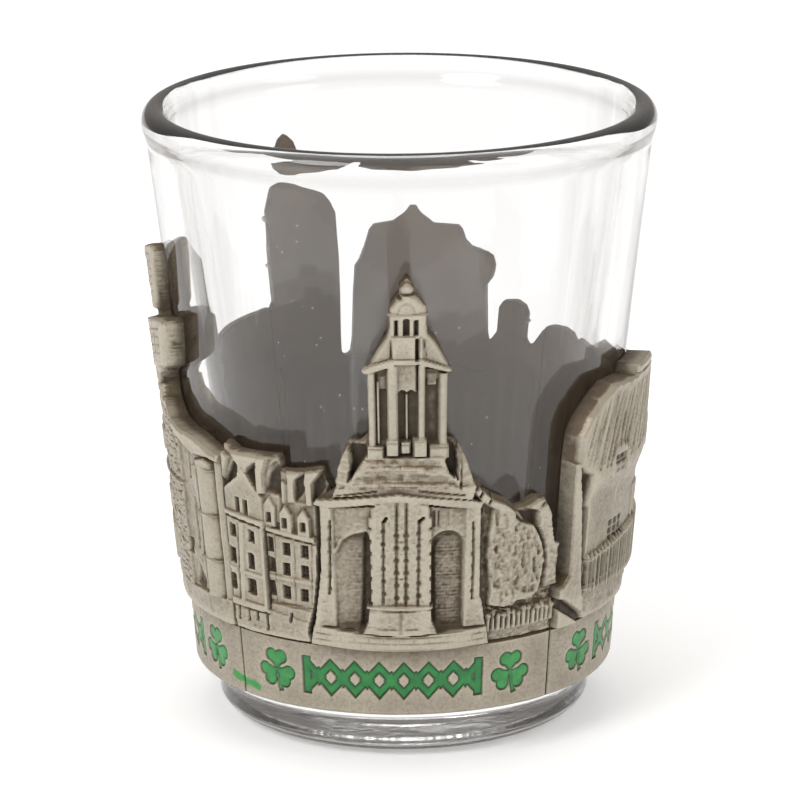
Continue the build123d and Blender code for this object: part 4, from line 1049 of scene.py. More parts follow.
def boundary_trees(r):
    """Trees and a stone boundary wall past the far gable."""
    r.poly([(6.6, 14.5), (18, 14.5), (18, 22.6), (6.6, 23.4)], 1.75)
    r.rubble([(7.0, 14.5), (18, 14.5), (18, 22.4), (7.0, 23.2)], 0.9, 0.6, 0.13, 63)
    r.line([(6.8, 23.3), (18, 22.6)], 0.5, 2.0, "raise", 0.2)
    r.poly([(7.3, 23.4), (8.0, 28.4), (9.2, 32.2), (10.0, 33.0), (11.4, 33.5), (15.6, 33.4),
            (18, 32.8), (18, 23.0)], 1.55)
    r.leaves([(7.4, 23.6), (8.0, 28.4), (9.2, 33.6), (18, 33.6), (18, 23.2)], 0.34, 0.95, 65)
    r.line([(11.8, 15.2), (11.6, 20.0), (12.2, 24.8)], 0.75, 2.15, "raise", 0.4)
    r.leaves([(6.9, 24.0), (6.8, 30.0), (5.2, 33.6), (7.4, 33.9), (8.4, 31.0)], 0.25, 0.8, 67)


def picket_fence(r):
    """Grass bank, painted shade under the fence, rails and pickets."""
    r.poly([(-13.3, 12.2), (18, 12.2), (18, 15.0), (-13.3, 15.2)], 1.95)
    r.rough([(-13, 12.3), (18, 12.3), (18, 15.2), (-13, 15.2)], (0.1, 0.6, 71), (0.08, 2.4, 73))
    r.poly([(-17.4, 15.4), (-16.2, 15.0), (-13.4, 12.9), (-12.8, 12.2), (-13.8, 12.2),
            (-17.4, 14.6)], 1.5, "carve", 0.22, soot_and_shade=0.8)
    # painted shade under the rails
    r.poly([(-13.5, 15.5), (7.0, 15.5), (7.0, 19.3), (-6.7, 19.0), (-13.6, 18.0)], 1.85, "carve",
           0.2, soot_and_shade=0.62)
    for width, drop, depth in ((0.26, 0.0, 2.6), (0.2, 2.6, 2.45)):
        r.line([(u, float(rail_height(u)) - drop) for u in (-13.6, -6.7, 7.0)], width, depth,
               "raise", 0.14)
    for k in range(36):
        at = -13.3 + 0.57 * k
        high = float(rail_height(at)) + 0.35
        r.box(at - 0.12, at + 0.12, 15.0, high, 2.62, "raise", 0.12)
        r.poly([(at - 0.12, high - 0.05), (at + 0.12, high - 0.05), (at, high + 0.3)], 2.55,
               "raise", 0.12)
    r.leaves([(-13.2, 12.6), (8.0, 12.6), (8.0, 14.9), (-13.2, 15.1)], 0.1, 0.5, 75)


def cottage_relief():
    """Thatched cottage behind a picket fence, with trees past its far gable."""
    r = Relief(39.2)
    r.skyline([(-18, 10), (-18, 16.2), (-16.4, 16.5), (-15.6, 17.4), (-15.65, 22.0),
               (-15.75, 28.2), (-15.75, 29.2), (-15.6, 31.2), (-15.2, 32.2), (-14.4, 33.2),
               (-12.9, 34.5), (-11.3, 35.4), (-9.0, 35.4), (-7.0, 35.2), (-6.9, 36.2),
               (-2.0, 36.1), (-1.2, 35.6), (-0.9, 34.7), (3.0, 34.4), (5.6, 34.0), (9.4, 33.8),
               (10.4, 33.3), (11.4, 33.9), (13.6, 34.1), (15.8, 33.9), (18, 33.3), (18, 10)])
    r.box(-18, 18, 12, 39, 1.25)
    parts = (end_wall, thatch_roof, ridge_chimney, dormers, long_wall, boundary_trees, picket_fence)
    for part in parts:
        part(r)
    return r


# ------------------------------------------------------------------ round tower panel
def ruined_hall(r):
    """Hall with a stepped gable, buttresses, three lancets and a round window."""
    hall = [(-8.4, 14.8), (6.6, 14.8), (6.0, 37.8), (4.4, 41.6), (1.8, 42.4), (0.0, 43.8),
            (-2.0, 42.2), (-4.8, 42.0), (-5.2, 40.2), (-8.4, 39.4), (-8.0, 36.6)]
    r.poly(hall, 1.55)
    r.poly([(-4.9, 14.8), (4.6, 14.8), (4.5, 37.4), (2.2, 40.2), (0.0, 42.8), (-2.2, 40.2),
            (-4.7, 37.4)], 2.0)
    r.rubble(hall, 0.95, 0.62, 0.15, 81)
    r.line([(-4.8, 37.2), (-2.2, 40.1), (0.0, 42.7), (2.2, 40.1), (4.6, 37.2)], 0.5, 2.3, "raise",
           0.16)
    for u0 in (-4.6, 4.4):
        r.box(u0 - 0.55, u0 + 0.55, 14.8, 31.0, 2.35, "raise", 0.16)
        r.poly([(u0 - 0.55, 31.0), (u0 + 0.55, 31.0), (u0 + 0.3, 32.6), (u0 - 0.3, 32.6)], 2.2)
        r.line([(u0 - 0.55, 23.0), (u0 + 0.55, 23.0)], 0.25, 2.5, "raise", 0.14)
    for u0, half, low, spring in ((-2.1, 0.62, 26.4, 31.4), (0.0, 0.72, 26.4, 33.2),
                                  (2.1, 0.62, 26.4, 31.4)):
        r.arch(u0 - half - 0.25, u0 + half + 0.25, low - 0.2, spring, 2.2, "raise", 0.14)
        r.arch(u0 - half, u0 + half, low, spring, 1.2, "carve", 0.14, soot_and_shade=1.0)
        r.line([(u0, low), (u0, spring + half * 0.7)], 0.13, 1.6, "raise", 0.1)
        for step in range(3):
            level = low + 1.5 + 1.6 * step
            r.line([(u0 - half, level), (u0 + half, level)], 0.09, 1.5, "raise", 0.1)
    r.disc(0.0, 37.6, 1.05, 2.25, "raise", 0.14)
    r.disc(0.0, 37.6, 0.8, 1.3, "carve", 0.14, soot_and_shade=1.0)
    for k in range(3):
        angle = math.pi * k / 3
        c, s = 0.8 * math.cos(angle), 0.8 * math.sin(angle)
        r.line([(-c, 37.6 - s), (c, 37.6 + s)], 0.12, 1.6, "raise", 0.1)


def porch(r):
    """Gabled porch and door, and the openings beside them."""
    r.poly([(-2.7, 14.8), (2.7, 14.8), (2.6, 21.2), (0.0, 24.6), (-2.6, 21.2)], 2.6)
    r.line([(-2.8, 21.1), (0.0, 24.6), (2.8, 21.1)], 0.36, 2.85, "raise", 0.14)
    r.masonry([(-2.6, 15.0), (2.6, 15.0), (2.5, 21.0), (0.0, 24.0), (-2.5, 21.0)], 0.6, 1.2, 0.07,
              83)
    r.arch(-1.35, 1.35, 14.9, 18.9, 2.75, "raise", 0.14)
    r.arch(-1.0, 1.0, 14.9, 18.9, 1.6, "carve", 0.14, soot_and_shade=0.95)
    r.arch(-7.3, -6.1, 24.0, 27.6, 1.05, "carve", 0.14, soot_and_shade=1.0)
    r.line([(-6.7, 24.0), (-6.7, 28.0)], 0.12, 1.4, "raise", 0.1)
    r.arch(-7.2, -6.2, 31.5, 34.0, 1.05, "carve", 0.14, soot_and_shade=1.0)
    r.leaves([(-9.2, 36.4), (-5.4, 37.4), (-5.2, 41.4), (-9.2, 40.4)], 0.3, 0.7, 85)
    r.arch(5.2, 6.0, 22.0, 25.0, 1.1, "carve", 0.14, soot_and_shade=0.95)


def chapel(r):
    """Tiled chapel with a small rounded turret."""
    walls = [(-18, 14.8), (-9.6, 14.8), (-9.8, 25.4), (-10.6, 30.6), (-18, 31.0)]
    r.poly(walls, 1.7)
    r.masonry(walls, 0.7, 1.4, 0.09, 87)
    r.poly([(-18, 24.0), (-9.4, 24.0), (-10.4, 30.4), (-18, 30.8)],
           lambda u, z: 2.0 - 0.05 * (z - 24), "raise", 0.2)
    for k in range(9):
        r.line([(-18, 24.6 + 0.68 * k), (-9.6, 24.6 + 0.68 * k)], 0.1, -0.12, "add", 0.1, soot_and_shade=0.35)
    r.line([(-18, 24.0), (-9.4, 24.0)], 0.34, 2.2, "raise", 0.14)
    r.poly([(-13.5, 30.2), (-10.2, 30.2), (-10.3, 34.4), (-11.9, 35.4), (-13.5, 34.4)],
           lambda u, z: 1.35 + 0.55 * np.sqrt(np.clip(1 - ((u + 11.85) / 1.75) ** 2, 0, 1)))
    r.line([(-13.6, 33.4), (-10.2, 33.4)], 0.22, 2.0, "raise", 0.14)
    for u0 in (-12.7, -11.8, -10.9):
        r.arch(u0 - 0.2, u0 + 0.2, 31.2, 32.6, 1.2, "carve", 0.12, soot_and_shade=0.95)
    for u0 in (-15.6, -13.0, -10.9):
        r.arch(u0 - 0.75, u0 + 0.75, 16.6, 20.6, 1.95, "raise", 0.14)
        r.arch(u0 - 0.5, u0 + 0.5, 16.8, 20.6, 1.2, "carve", 0.14, soot_and_shade=0.95)
        r.line([(u0, 16.8), (u0, 21.0)], 0.1, 1.5, "raise", 0.1)


def drum_tower(r):
    """Curved wall of coursed stone with openings, eaves and a conical cap."""
    drum = [(7.9, 13.4), (16.1, 13.4), (16.0, 44.4), (7.9, 44.4)]
    r.poly(drum, lambda u, z: 0.95 + 0.9 * np.sqrt(np.clip(
        1 - ((u - 12.0) / (4.15 - 0.006 * (z - 14))) ** 2, 0, 1)), "set", 0.2)
    r.masonry(drum, 0.78, 1.5, 0.09, 89, lambda u: 0.02 * (u - 12.0) ** 2)
    r.line([(7.7, 44.2), (12.0, 44.0), (16.2, 44.2)], 0.5, 1.75, "raise", 0.14)
    cap = [(7.8, 44.4), (16.1, 44.4), (13.8, 50.2), (13.1, 51.8), (12.4, 52.3), (11.7, 51.6),
           (11.2, 50.2)]
    r.poly(cap, lambda u, z: 0.75 + (0.6 - 0.03 * (z - 44.4)) * np.sqrt(np.clip(
        1 - ((u - 12.3) / np.clip(0.8 + 0.46 * (52.3 - z), 0.6, 5)) ** 2, 0, 1)), "set", 0.15)
    r.masonry(cap, 0.7, 1.2, 0.07, 91, lambda u: 0.02 * (u - 12.3) ** 2)
    for u0, z0, half, spring in ((11.9, 18.6, 0.65, 20.6), (12.1, 27.2, 0.4, 28.4),
                                 (11.3, 34.2, 0.4, 35.4)):
        r.arch(u0 - half - 0.22, u0 + half + 0.22, z0 - 0.2, spring, 2.0, "raise", 0.14)
        r.arch(u0 - half, u0 + half, z0, spring, 1.05, "carve", 0.12, soot_and_shade=1.0)
    for u0 in (9.3, 12.1, 14.8):
        r.arch(u0 - 0.38, u0 + 0.38, 40.4, 41.9, 0.95, "carve", 0.12, soot_and_shade=1.0)
    r.line([(7.8, 39.4), (12.0, 39.2), (16.1, 39.4)], 0.26, 1.85, "raise", 0.12)


def abbey_bank(r):
    """Wall on the right, the bank and three small standing stones."""
    r.poly([(16.0, 14.6), (18, 14.6), (18, 34.8), (16.2, 34.6)], 1.5)
    r.rubble([(16.1, 14.6), (18, 14.6), (18, 34.6), (16.2, 34.4)], 0.9, 0.6, 0.14, 93)
    r.poly([(-18, 12.2), (18, 12.2), (18, 15.0), (9.0, 14.4), (0, 15.1), (-9.0, 14.8),
            (-18, 15.4)], 2.1)
    r.leaves([(-18, 12.3), (18, 12.3), (18, 14.8), (-18, 14.9)], 0.2, 0.7, 95)
    for u0, z0 in ((-7.2, 14.9), (4.0, 14.8), (6.6, 14.7)):
        r.box(u0 - 0.3, u0 + 0.3, 13.2, z0 + 1.4, 2.4, "raise", 0.16)
        r.disc(u0, z0 + 1.5, 0.42, 2.45, "raise", 0.16)


def round_tower_relief():
    """Ruined gabled hall with a tall round tower and a tiled chapel."""
    r = Relief(52.6)
    r.skyline([(-18, 10), (-18, 33.6), (-16.6, 33.3), (-15.9, 32.5), (-15.0, 31.5), (-14.2, 31.3),
               (-13.6, 31.9), (-13.6, 32.9), (-13.8, 34.3), (-13.3, 35.2), (-12.0, 35.6),
               (-10.5, 35.4), (-10.0, 34.7), (-9.9, 32.2), (-9.2, 31.3), (-8.7, 31.0),
               (-8.5, 31.9), (-8.2, 36.6), (-8.9, 37.6), (-9.1, 38.7), (-8.8, 39.7), (-8.1, 40.1),
               (-6.3, 40.5), (-5.6, 41.2), (-5.2, 42.2), (-4.8, 42.6), (-2.2, 42.7),
               (-1.2, 43.5), (-0.4, 44.3), (0.2, 44.3), (1.0, 43.6), (1.9, 42.9), (3.9, 42.6),
               (4.4, 42.0), (4.9, 40.4), (5.4, 39.2), (6.0, 38.4), (6.25, 36.0), (6.6, 31.0),
               (6.85, 29.7), (7.2, 29.4), (7.7, 29.4), (8.0, 29.9), (8.0, 31.4), (7.85, 36.0),
               (7.8, 39.6), (7.9, 42.0), (7.95, 44.3), (8.8, 45.6), (11.2, 50.2), (11.7, 51.6),
               (12.4, 52.3), (13.1, 51.8), (13.8, 50.2), (15.9, 45.0), (16.1, 40.0),
               (16.1, 35.8), (16.5, 35.2), (18, 35.3), (18, 10)])
    r.box(-18, 18, 12, 53, 1.2)
    for part in (ruined_hall, porch, chapel, drum_tower, abbey_bank):
        part(r)
    return r


# ------------------------------------------------------------------ castle panel
def parapet_foot(u):
    """Height of the underside of the parapet, which slopes up to the keep's near corner."""
    return 32.4 + 0.262 * (u + 5.6)


def keep_walls(r):
    """Rubble walls of the keep."""
    keep = [(-7.6, 14.4), (9.6, 14.4), (9.5, 31.0), (5.5, 32.2), (5.0, 33.8), (6.0, 35.6),
            (-5.6, 32.8), (-7.5, 27.0)]
    r.poly(keep, 2.05)
    r.rubble([(-7.6, 14.4), (9.6, 14.4), (9.5, 30.0), (5.0, 31.6), (4.6, 33.8), (-4.4, 31.4),
              (-7.5, 26.0)], 1.05, 0.66, 0.11, 101)


def parapet(r):
    """Sloping parapet on corbels, with a cornerstone at its near end."""
    block = [(-5.6, parapet_foot(-5.5)), (9.4, parapet_foot(9.2)), (10.4, 40.9), (8.4, 40.9),
             (-5.6, 37.2)]
    r.poly(block, 2.22, "raise", 0.3)
    r.rough(block, (0.06, 1.5, 105), (0.03, 0.4, 107))
    level = [(-5.4, 33.0), (9.2, 36.8), (9.8, 40.4), (6.0, 40.2), (-5.4, 36.8)]
    r.masonry(level, 0.8, 1.9, 0.1, 131, lambda u: -0.262 * u)
    r.poly([(8.3, 36.4), (9.2, 36.5), (9.9, 40.5), (8.9, 40.4)], 2.32, "raise", 0.2)
    for k in range(7):
        at = -5.2 + 2.1 * k
        low = parapet_foot(at)
        r.poly([(at, low - 1.4), (at + 0.9, low - 1.2), (at + 1.0, low + 0.4),
                (at - 0.1, low + 0.2)], 2.1, "raise", 0.18)
        if at < 7.0:
            r.poly([(at + 1.15, low - 1.5), (at + 1.9, low - 1.3), (at + 1.9, low + 0.2),
                    (at + 1.15, low)], 1.3, "carve", 0.18, soot_and_shade=0.7)
    # shallow groove with painted shadow under the upper tower
    r.line([(-3.7, 38.3), (6.2, 40.8)], 0.4, 1.3, "carve", 0.26, soot_and_shade=0.5)


def upper_tower(r):
    """Tower above the parapet, with the slits of both."""
    upper = [(-3.6, 38.7), (5.8, 41.0), (6.7, 43.5), (7.7, 47.8), (3.0, 46.8), (-3.6, 43.3)]
    r.poly(upper, lambda u, z: np.minimum(1.62, LIMIT_RADIUS - wall(z)), "raise", 0.3)
    r.grain(upper, lambda u, z: 0.05 * fractal(u, z, 1.8, 109)
            + 0.04 * value_noise(u, z, 3.0, 0.35, 110))
    r.masonry([(-3.3, 39.3), (5.7, 41.6), (7.0, 46.8), (3.0, 46.0), (-3.3, 42.8)], 0.75, 1.5,
              0.09, 133, lambda u: -0.262 * u)
    r.line([(-3.5, 42.9), (3.0, 46.2), (7.0, 47.3)], 0.5, 0.14, "add", 0.2)
    for u0 in (-0.4, 3.8):
        low = parapet_foot(u0) + 7.2
        r.arch(u0 - 0.4, u0 + 0.4, low, low + 1.5, 1.0, "carve", 0.16, soot_and_shade=0.9)
    for u0 in (-2.4, 2.4, 6.6):
        low = parapet_foot(u0) + 1.5
        r.box(u0 - 0.28, u0 + 0.28, low, low + 1.7, 1.6, "carve", 0.16, soot_and_shade=0.8)


def keep_openings(r):
    """Two rows of windows, a string course and the barred door."""
    for u0 in (-3.0, 0.4, 3.8):
        for z0 in (21.8, 27.8):
            r.arch(u0 - 0.75, u0 + 0.75, z0 - 1.2, z0 + 0.4, 2.25, "raise", 0.14)
            r.arch(u0 - 0.5, u0 + 0.5, z0 - 1.0, z0 + 0.4, 1.3, "carve", 0.14, soot_and_shade=0.9)
            r.line([(u0, z0 - 1.0), (u0, z0 + 0.8)], 0.11, 1.6, "raise", 0.1)
    r.line([(-7.6, 24.7), (9.5, 24.7)], 0.3, 2.25, "raise", 0.16)
    r.arch(-2.0, 1.8, 14.6, 17.6, 2.35, "raise", 0.14)
    r.arch(-1.5, 1.3, 14.6, 17.6, 1.3, "carve", 0.14, soot_and_shade=0.9)
    for k in range(5):
        r.line([(-1.2 + 0.55 * k, 14.8), (-1.2 + 0.55 * k, 18.8)], 0.12, 1.6, "raise", 0.1)
    for step in range(3):
        r.line([(-1.5, 15.6 + step), (1.3, 15.6 + step)], 0.12, 1.6, "raise", 0.1)


def worn_wall(r):
    """Worn wall with a ledge beside the stair turret."""
    worn = [(9.4, 14.4), (12.6, 14.4), (12.6, 28.0), (15.2, 28.9), (18, 28.4), (18, 29.3),
            (15.7, 29.7), (13.0, 30.5), (9.4, 30.8)]
    r.poly(worn, 1.8)
    r.poly([(5.4, 32.4), (9.4, 29.8), (12.8, 28.6), (15.4, 28.8), (18, 28.5), (18, 29.3),
            (15.7, 29.7), (13.0, 30.5), (8.3, 31.0)], 2.3, "raise", 0.35)
    r.rough([(9.2, 14.4), (12.7, 14.4), (12.7, 28.0), (18, 28.6), (15, 30.2), (5.6, 32.0)],
            (0.14, 2.2, 111), (0.08, 0.7, 112))
    r.box(11.3, 11.6, 25.8, 28.4, 1.35, "carve", 0.25, soot_and_shade=0.55)
    r.box(11.5, 11.75, 18.8, 23.8, 1.4, "carve", 0.25, soot_and_shade=0.45)
    r.poly([(10.4, 15.0), (11.8, 14.7), (11.9, 15.6), (11.0, 17.0)], 1.4, "carve", 0.35, soot_and_shade=0.5)
    r.box(9.2, 10.2, 17.8, 19.2, 1.45, "carve", 0.35, soot_and_shade=0.45)


def stair_turret(r):
    """Round stair turret with slit windows and a stone cap."""
    r.box(12.75, 15.45, 14.4, 27.8,
          lambda u, z: 1.3 + 0.9 * np.sqrt(np.clip(1 - ((u - 14.05) / 1.42) ** 2, 0, 1)), "set",
          0.16)
    r.poly([(12.7, 27.4), (15.4, 27.5), (15.2, 28.2), (14.5, 28.6), (13.2, 28.2)],
           lambda u, z: 1.5 + 0.75 * np.sqrt(np.clip(1 - ((u - 14.0) / 1.5) ** 2, 0, 1)), "set",
           0.25)
    for z0 in (18.35, 22.9, 27.5):
        r.line([(12.7, z0), (14.0, z0 - 0.1), (15.5, z0)], 0.22, 2.3, "raise", 0.14)
    for u0, z0, height in ((12.9, 16.7, 1.4), (12.98, 20.4, 1.2), (12.98, 22.0, 0.6),
                           (12.98, 24.9, 1.4)):
        r.window(u0, z0, 0.4, height, 1.2, (0, 1), 0.0, 0.04)
    r.line([(13.15, 13.0), (13.2, 14.1)], 0.24, 1.4, "carve", 0.18, soot_and_shade=0.6)
    r.box(15.5, 15.85, 14.6, 28.6, 1.15, "carve", 0.2, soot_and_shade=0.8)
    r.poly([(15.8, 14.6), (18, 14.6), (18, 28.8), (15.9, 28.6)], 1.85)
    r.rough([(15.9, 14.8), (18, 14.8), (18, 28.4), (16, 28.2)], (0.1, 1.5, 113))


def curtain_wall(r):
    """Far wall with merlons and a gate, under a wooded slope."""
    r.poly([(-18, 14.6), (-8.4, 14.6), (-8.4, 25.4), (-18, 25.8)], 1.8)
    r.rubble([(-18, 14.6), (-8.4, 14.6), (-8.4, 25.2), (-18, 25.6)], 1.0, 0.62, 0.1, 115)
    for k in range(6):
        r.box(-17.4 + 1.65 * k, -16.5 + 1.65 * k, 25.2, 26.7, 1.85, "raise", 0.16)
    r.line([(-18, 25.3), (-8.4, 25.0)], 0.3, 2.05, "raise", 0.14)
    r.poly([(-18, 26.9), (-5.9, 26.8), (-5.9, 33.8), (-7.0, 34.4), (-18, 35.0)], 1.5)
    r.leaves([(-18, 27.2), (-5.9, 27.2), (-5.9, 33.6), (-9.0, 34.8), (-18, 35.4)], 0.3, 0.9,
             117)
    r.arch(-13.9, -10.7, 14.6, 18.0, 2.1, "raise", 0.14)
    r.arch(-13.4, -11.2, 14.6, 18.0, 1.15, "carve", 0.14, soot_and_shade=0.9)


def castle_bank(r):
    """Grassy bank along the foot of the castle."""
    r.poly([(-18, 12.2), (18, 12.2), (18, 14.8), (8, 14.4), (-6, 14.9), (-18, 14.5)], 2.0)
    r.rough([(-18, 12.3), (18, 12.3), (18, 14.8), (-18, 14.8)], (0.12, 1.6, 119), (0.06, 0.5, 121))


def castle_relief():
    """Square keep seen from its corner, with parapet and upper tower, and a stair turret."""
    r = Relief(49.4)
    r.skyline([(-18, 10), (-18, 35.4), (-13.0, 35.1), (-9.0, 34.9), (-6.7, 34.6), (-6.0, 33.7),
               (-5.9, 30.0), (-5.8, 27.5), (-5.3, 27.1), (-4.7, 27.4), (-4.5, 30.0),
               (-4.6, 32.7), (-5.4, 33.4), (-5.5, 37.0), (-3.9, 37.6), (-3.6, 39.2),
               (-3.5, 43.1), (3.0, 46.5), (6.3, 47.6), (7.1, 47.7), (7.5, 47.1), (6.7, 43.5),
               (5.9, 40.8), (6.2, 40.4), (8.4, 40.8), (9.8, 41.1), (10.2, 40.7), (9.9, 38.4),
               (9.2, 36.3), (7.0, 35.4), (5.4, 34.4), (5.0, 33.7), (5.6, 32.3), (8.3, 30.9),
               (10.8, 30.6), (13.1, 30.4), (15.7, 29.6), (18, 29.2), (18, 10)])
    r.box(-18, 18, 12, 50, 1.15)
    parts = (keep_walls, parapet, upper_tower, keep_openings, worn_wall, stair_turret, curtain_wall,
             castle_bank)
    for part in parts:
        part(r)
    return r


# ------------------------------------------------------------------ glass
RIM_CURVE = ((23.875, 54.0), (23.995, 55.0), (24.12, 56.0), (24.21, 56.6), (24.33, 57.1),
             (24.48, 57.55), (24.59, 57.95), (24.64, 58.4), (24.56, 59.0), (24.3, 59.5),
             (23.9, 59.85), (23.34, 60.0), (22.8, 59.85), (22.38, 59.5), (22.12, 59.0),
             (22.03, 58.4), (22.01, 57.9), (21.96, 57.3), (21.88, 56.6), (21.79, 56.0),
             (21.65, 55.0), (21.525, 54.0))


def through(points, steps):
    """Smooth curve through the points, without the first one."""
    points = np.array(points, float)
    padded = np.vstack([2 * points[0] - points[1], points, 2 * points[-1] - points[-2]])
    out = []
    for i in range(1, len(padded) - 2):
        a, b, c, d = padded[i - 1:i + 3]
        for k in range(1, steps + 1):
            t = k / steps
            out.append(tuple(0.5 * (2 * b + (c - a) * t + (2 * a - 5 * b + 4 * c - d) * t * t
                                    + (3 * b - a - 3 * c + d) * t ** 3)))
    return out


def underside(radius):
    """Height of the pressed-up base: a step, a gentle dome, and a round mark in a moat."""
    step = 0.75 * smooth((PUSH_UP_RADIUS - radius) / 0.9)
    dome = (PUSH_UP - 1.05) * smooth((PUSH_UP_RADIUS - 1.5 - radius) / 5)
    mark = 0.3 * smooth((MARK_RADIUS - radius) / 0.6)
    moat = 0.25 * math.exp(-((radius - MARK_RADIUS - 0.5) / 0.45) ** 2)
    return float(step + dome + (mark - moat))


def tumbler_profile():
    """(radius, z) from the middle of the underside, up the outside and down into the cup."""
    line = [(0.0, underside(0.0))]
    for k in range(1, UNDERSIDE_ROWS):
        radius = PUSH_UP_RADIUS * k / (UNDERSIDE_ROWS - 1)
        line.append((radius, underside(radius)))
    line.append((PUSH_UP_RADIUS + 1.2, 0.0))
    line.append((FOOT_SEAT, 0.0))
    for k in range(1, 17):
        angle = math.pi / 2 * k / 16
        line.append((FOOT_SEAT + (FOOT_RADIUS - FOOT_SEAT) * math.sin(angle),
                     FOOT_CURVE * (1 - math.cos(angle))))
    foot_top, wall_foot = SHOULDER
    line += [(FOOT_RADIUS, (FOOT_CURVE + foot_top) / 2), (FOOT_RADIUS, foot_top)]
    for k in range(41):
        z = wall_foot + (WALL_TOP_Z - wall_foot) * k / 40
        line.append((float(wall(z)), z))
    line += through(RIM_CURVE, 4)
    inner = RIM_CURVE[-1][0]
    corner_z = FLOOR_Z + FLOOR_CORNER
    for k in range(1, 41):
        t = k / 40
        line.append((inner + (INNER_WALL_RADIUS - inner) * t,
                     WALL_TOP_Z + (corner_z - WALL_TOP_Z) * t))
    for k in range(1, 13):
        angle = math.pi / 2 * k / 12
        line.append((FLOOR_RADIUS + (INNER_WALL_RADIUS - FLOOR_RADIUS) * math.cos(angle),
                     FLOOR_Z + FLOOR_CORNER * (1 - math.sin(angle))))
    for k in range(1, 7):
        t = k / 7
        line.append((FLOOR_RADIUS * (1 - t), FLOOR_Z - FLOOR_DIP * smooth(t)))
    line.append((0.0, FLOOR_Z - FLOOR_DIP))
    return line


def revolve(name, profile, segments, materials, second_rows):
    """Closed surface of revolution; its first rows of faces take the second material."""
    points = []
    rings = []
    for radius, z in profile:
        if radius == 0.0:
            rings.append([len(points)])
            points.append((0.0, 0.0, z * MM))
            continue
        ring = []
        for k in range(segments):
            angle = 2 * math.pi * k / segments
            ring.append(len(points))
            points.append((radius * math.cos(angle) * MM, radius * math.sin(angle) * MM, z * MM))
        rings.append(ring)
    faces = []
    for low, high in zip(rings, rings[1:]):
        for k in range(segments):
            n = (k + 1) % segments
            if len(low) == 1:
                faces.append((low[0], high[n], high[k]))
            elif len(high) == 1:
                faces.append((low[k], low[n], high[0]))
            else:
                faces.append((low[k], low[n], high[n], high[k]))
    mesh = bpy.data.meshes.new(name)
    mesh.from_pydata(points, [], faces)
    mesh.polygons.foreach_set("use_smooth", np.ones(len(faces), bool))
    for material in materials:
        mesh.materials.append(material)
    part = np.zeros(len(faces), np.int32)
    part[:second_rows * segments] = 1
    mesh.polygons.foreach_set("material_index", part)
    mesh.update()
    return place(name, mesh)


# ------------------------------------------------------------------ materials
def linear(r, g, b):
    """Linear colour from 0-255 display values."""
    out = []
    for value in (r, g, b):
        v = value / 255
        out.append(v / 12.92 if v <= 0.04045 else ((v + 0.055) / 1.055) ** 2.4)
    return (*out, 1.0)


class Nodes:
    """Small helper that wires a node tree."""

    def __init__(self, owner):
        owner.use_nodes = True
        self.tree = owner.node_tree

    def add(self, kind, **settings):
        node = self.tree.nodes.new(kind)
        for key, value in settings.items():
            setattr(node, key, value)
        return node

    def link(self, source, target):
        self.tree.links.new(source, target)

    def attribute(self, name):
        return self.add("ShaderNodeAttribute", attribute_name=name).outputs["Fac"]

    def position(self):
        return self.add("ShaderNodeTexCoord").outputs["Object"]

    def noise(self, scale, detail):
        node = self.add("ShaderNodeTexNoise")
        node.inputs["Scale"].default_value = scale
        node.inputs["Detail"].default_value = detail
        node.inputs["Roughness"].default_value = 0.55
        self.link(self.position(), node.inputs["Vector"])
        return node.outputs["Fac"]

    def math(self, operation, a, b):
        node = self.add("ShaderNodeMath", operation=operation)
        for socket, value in zip(node.inputs, (a, b)):
            if isinstance(value, (int, float)):
                socket.default_value = value
            else:
                self.link(value, socket)
        return node.outputs[0]

    def spread(self, value, low, high, out_low=0.0, out_high=1.0):
        node = self.add("ShaderNodeMapRange", clamp=True)
        self.link(value, node.inputs["Value"])
        for socket, number in zip(("From Min", "From Max", "To Min", "To Max"),
                                  (low, high, out_low, out_high)):
            node.inputs[socket].default_value = number
        return node.outputs["Result"]

    def mix(self, factor, a, b):
        node = self.add("ShaderNodeMix", data_type="RGBA")
        self.link(factor, node.inputs["Factor"])
        for socket, value in ((node.inputs["A"], a), (node.inputs["B"], b)):
            if isinstance(value, tuple):
                socket.default_value = value
            else:
                self.link(value, socket)
        return node.outputs["Result"]


class Finish(Nodes):
    """Node material round one Principled shader."""

    def __init__(self, name):
        self.material = bpy.data.materials.new(name)
        super().__init__(self.material)
        self.shader = self.tree.nodes["Principled BSDF"]

    def fixed(self, **values):
        """Fixed values of the shader's own sockets, with _ for a space in their names."""
        for socket, value in values.items():
            self.shader.inputs[socket.replace("_", " ")].default_value = value

    def bump(self, height, strength, distance):
        node = self.add("ShaderNodeBump")
        node.inputs["Strength"].default_value = strength
        node.inputs["Distance"].default_value = distance
        self.link(height, node.inputs["Height"])
        self.link(node.outputs["Normal"], self.shader.inputs["Normal"])


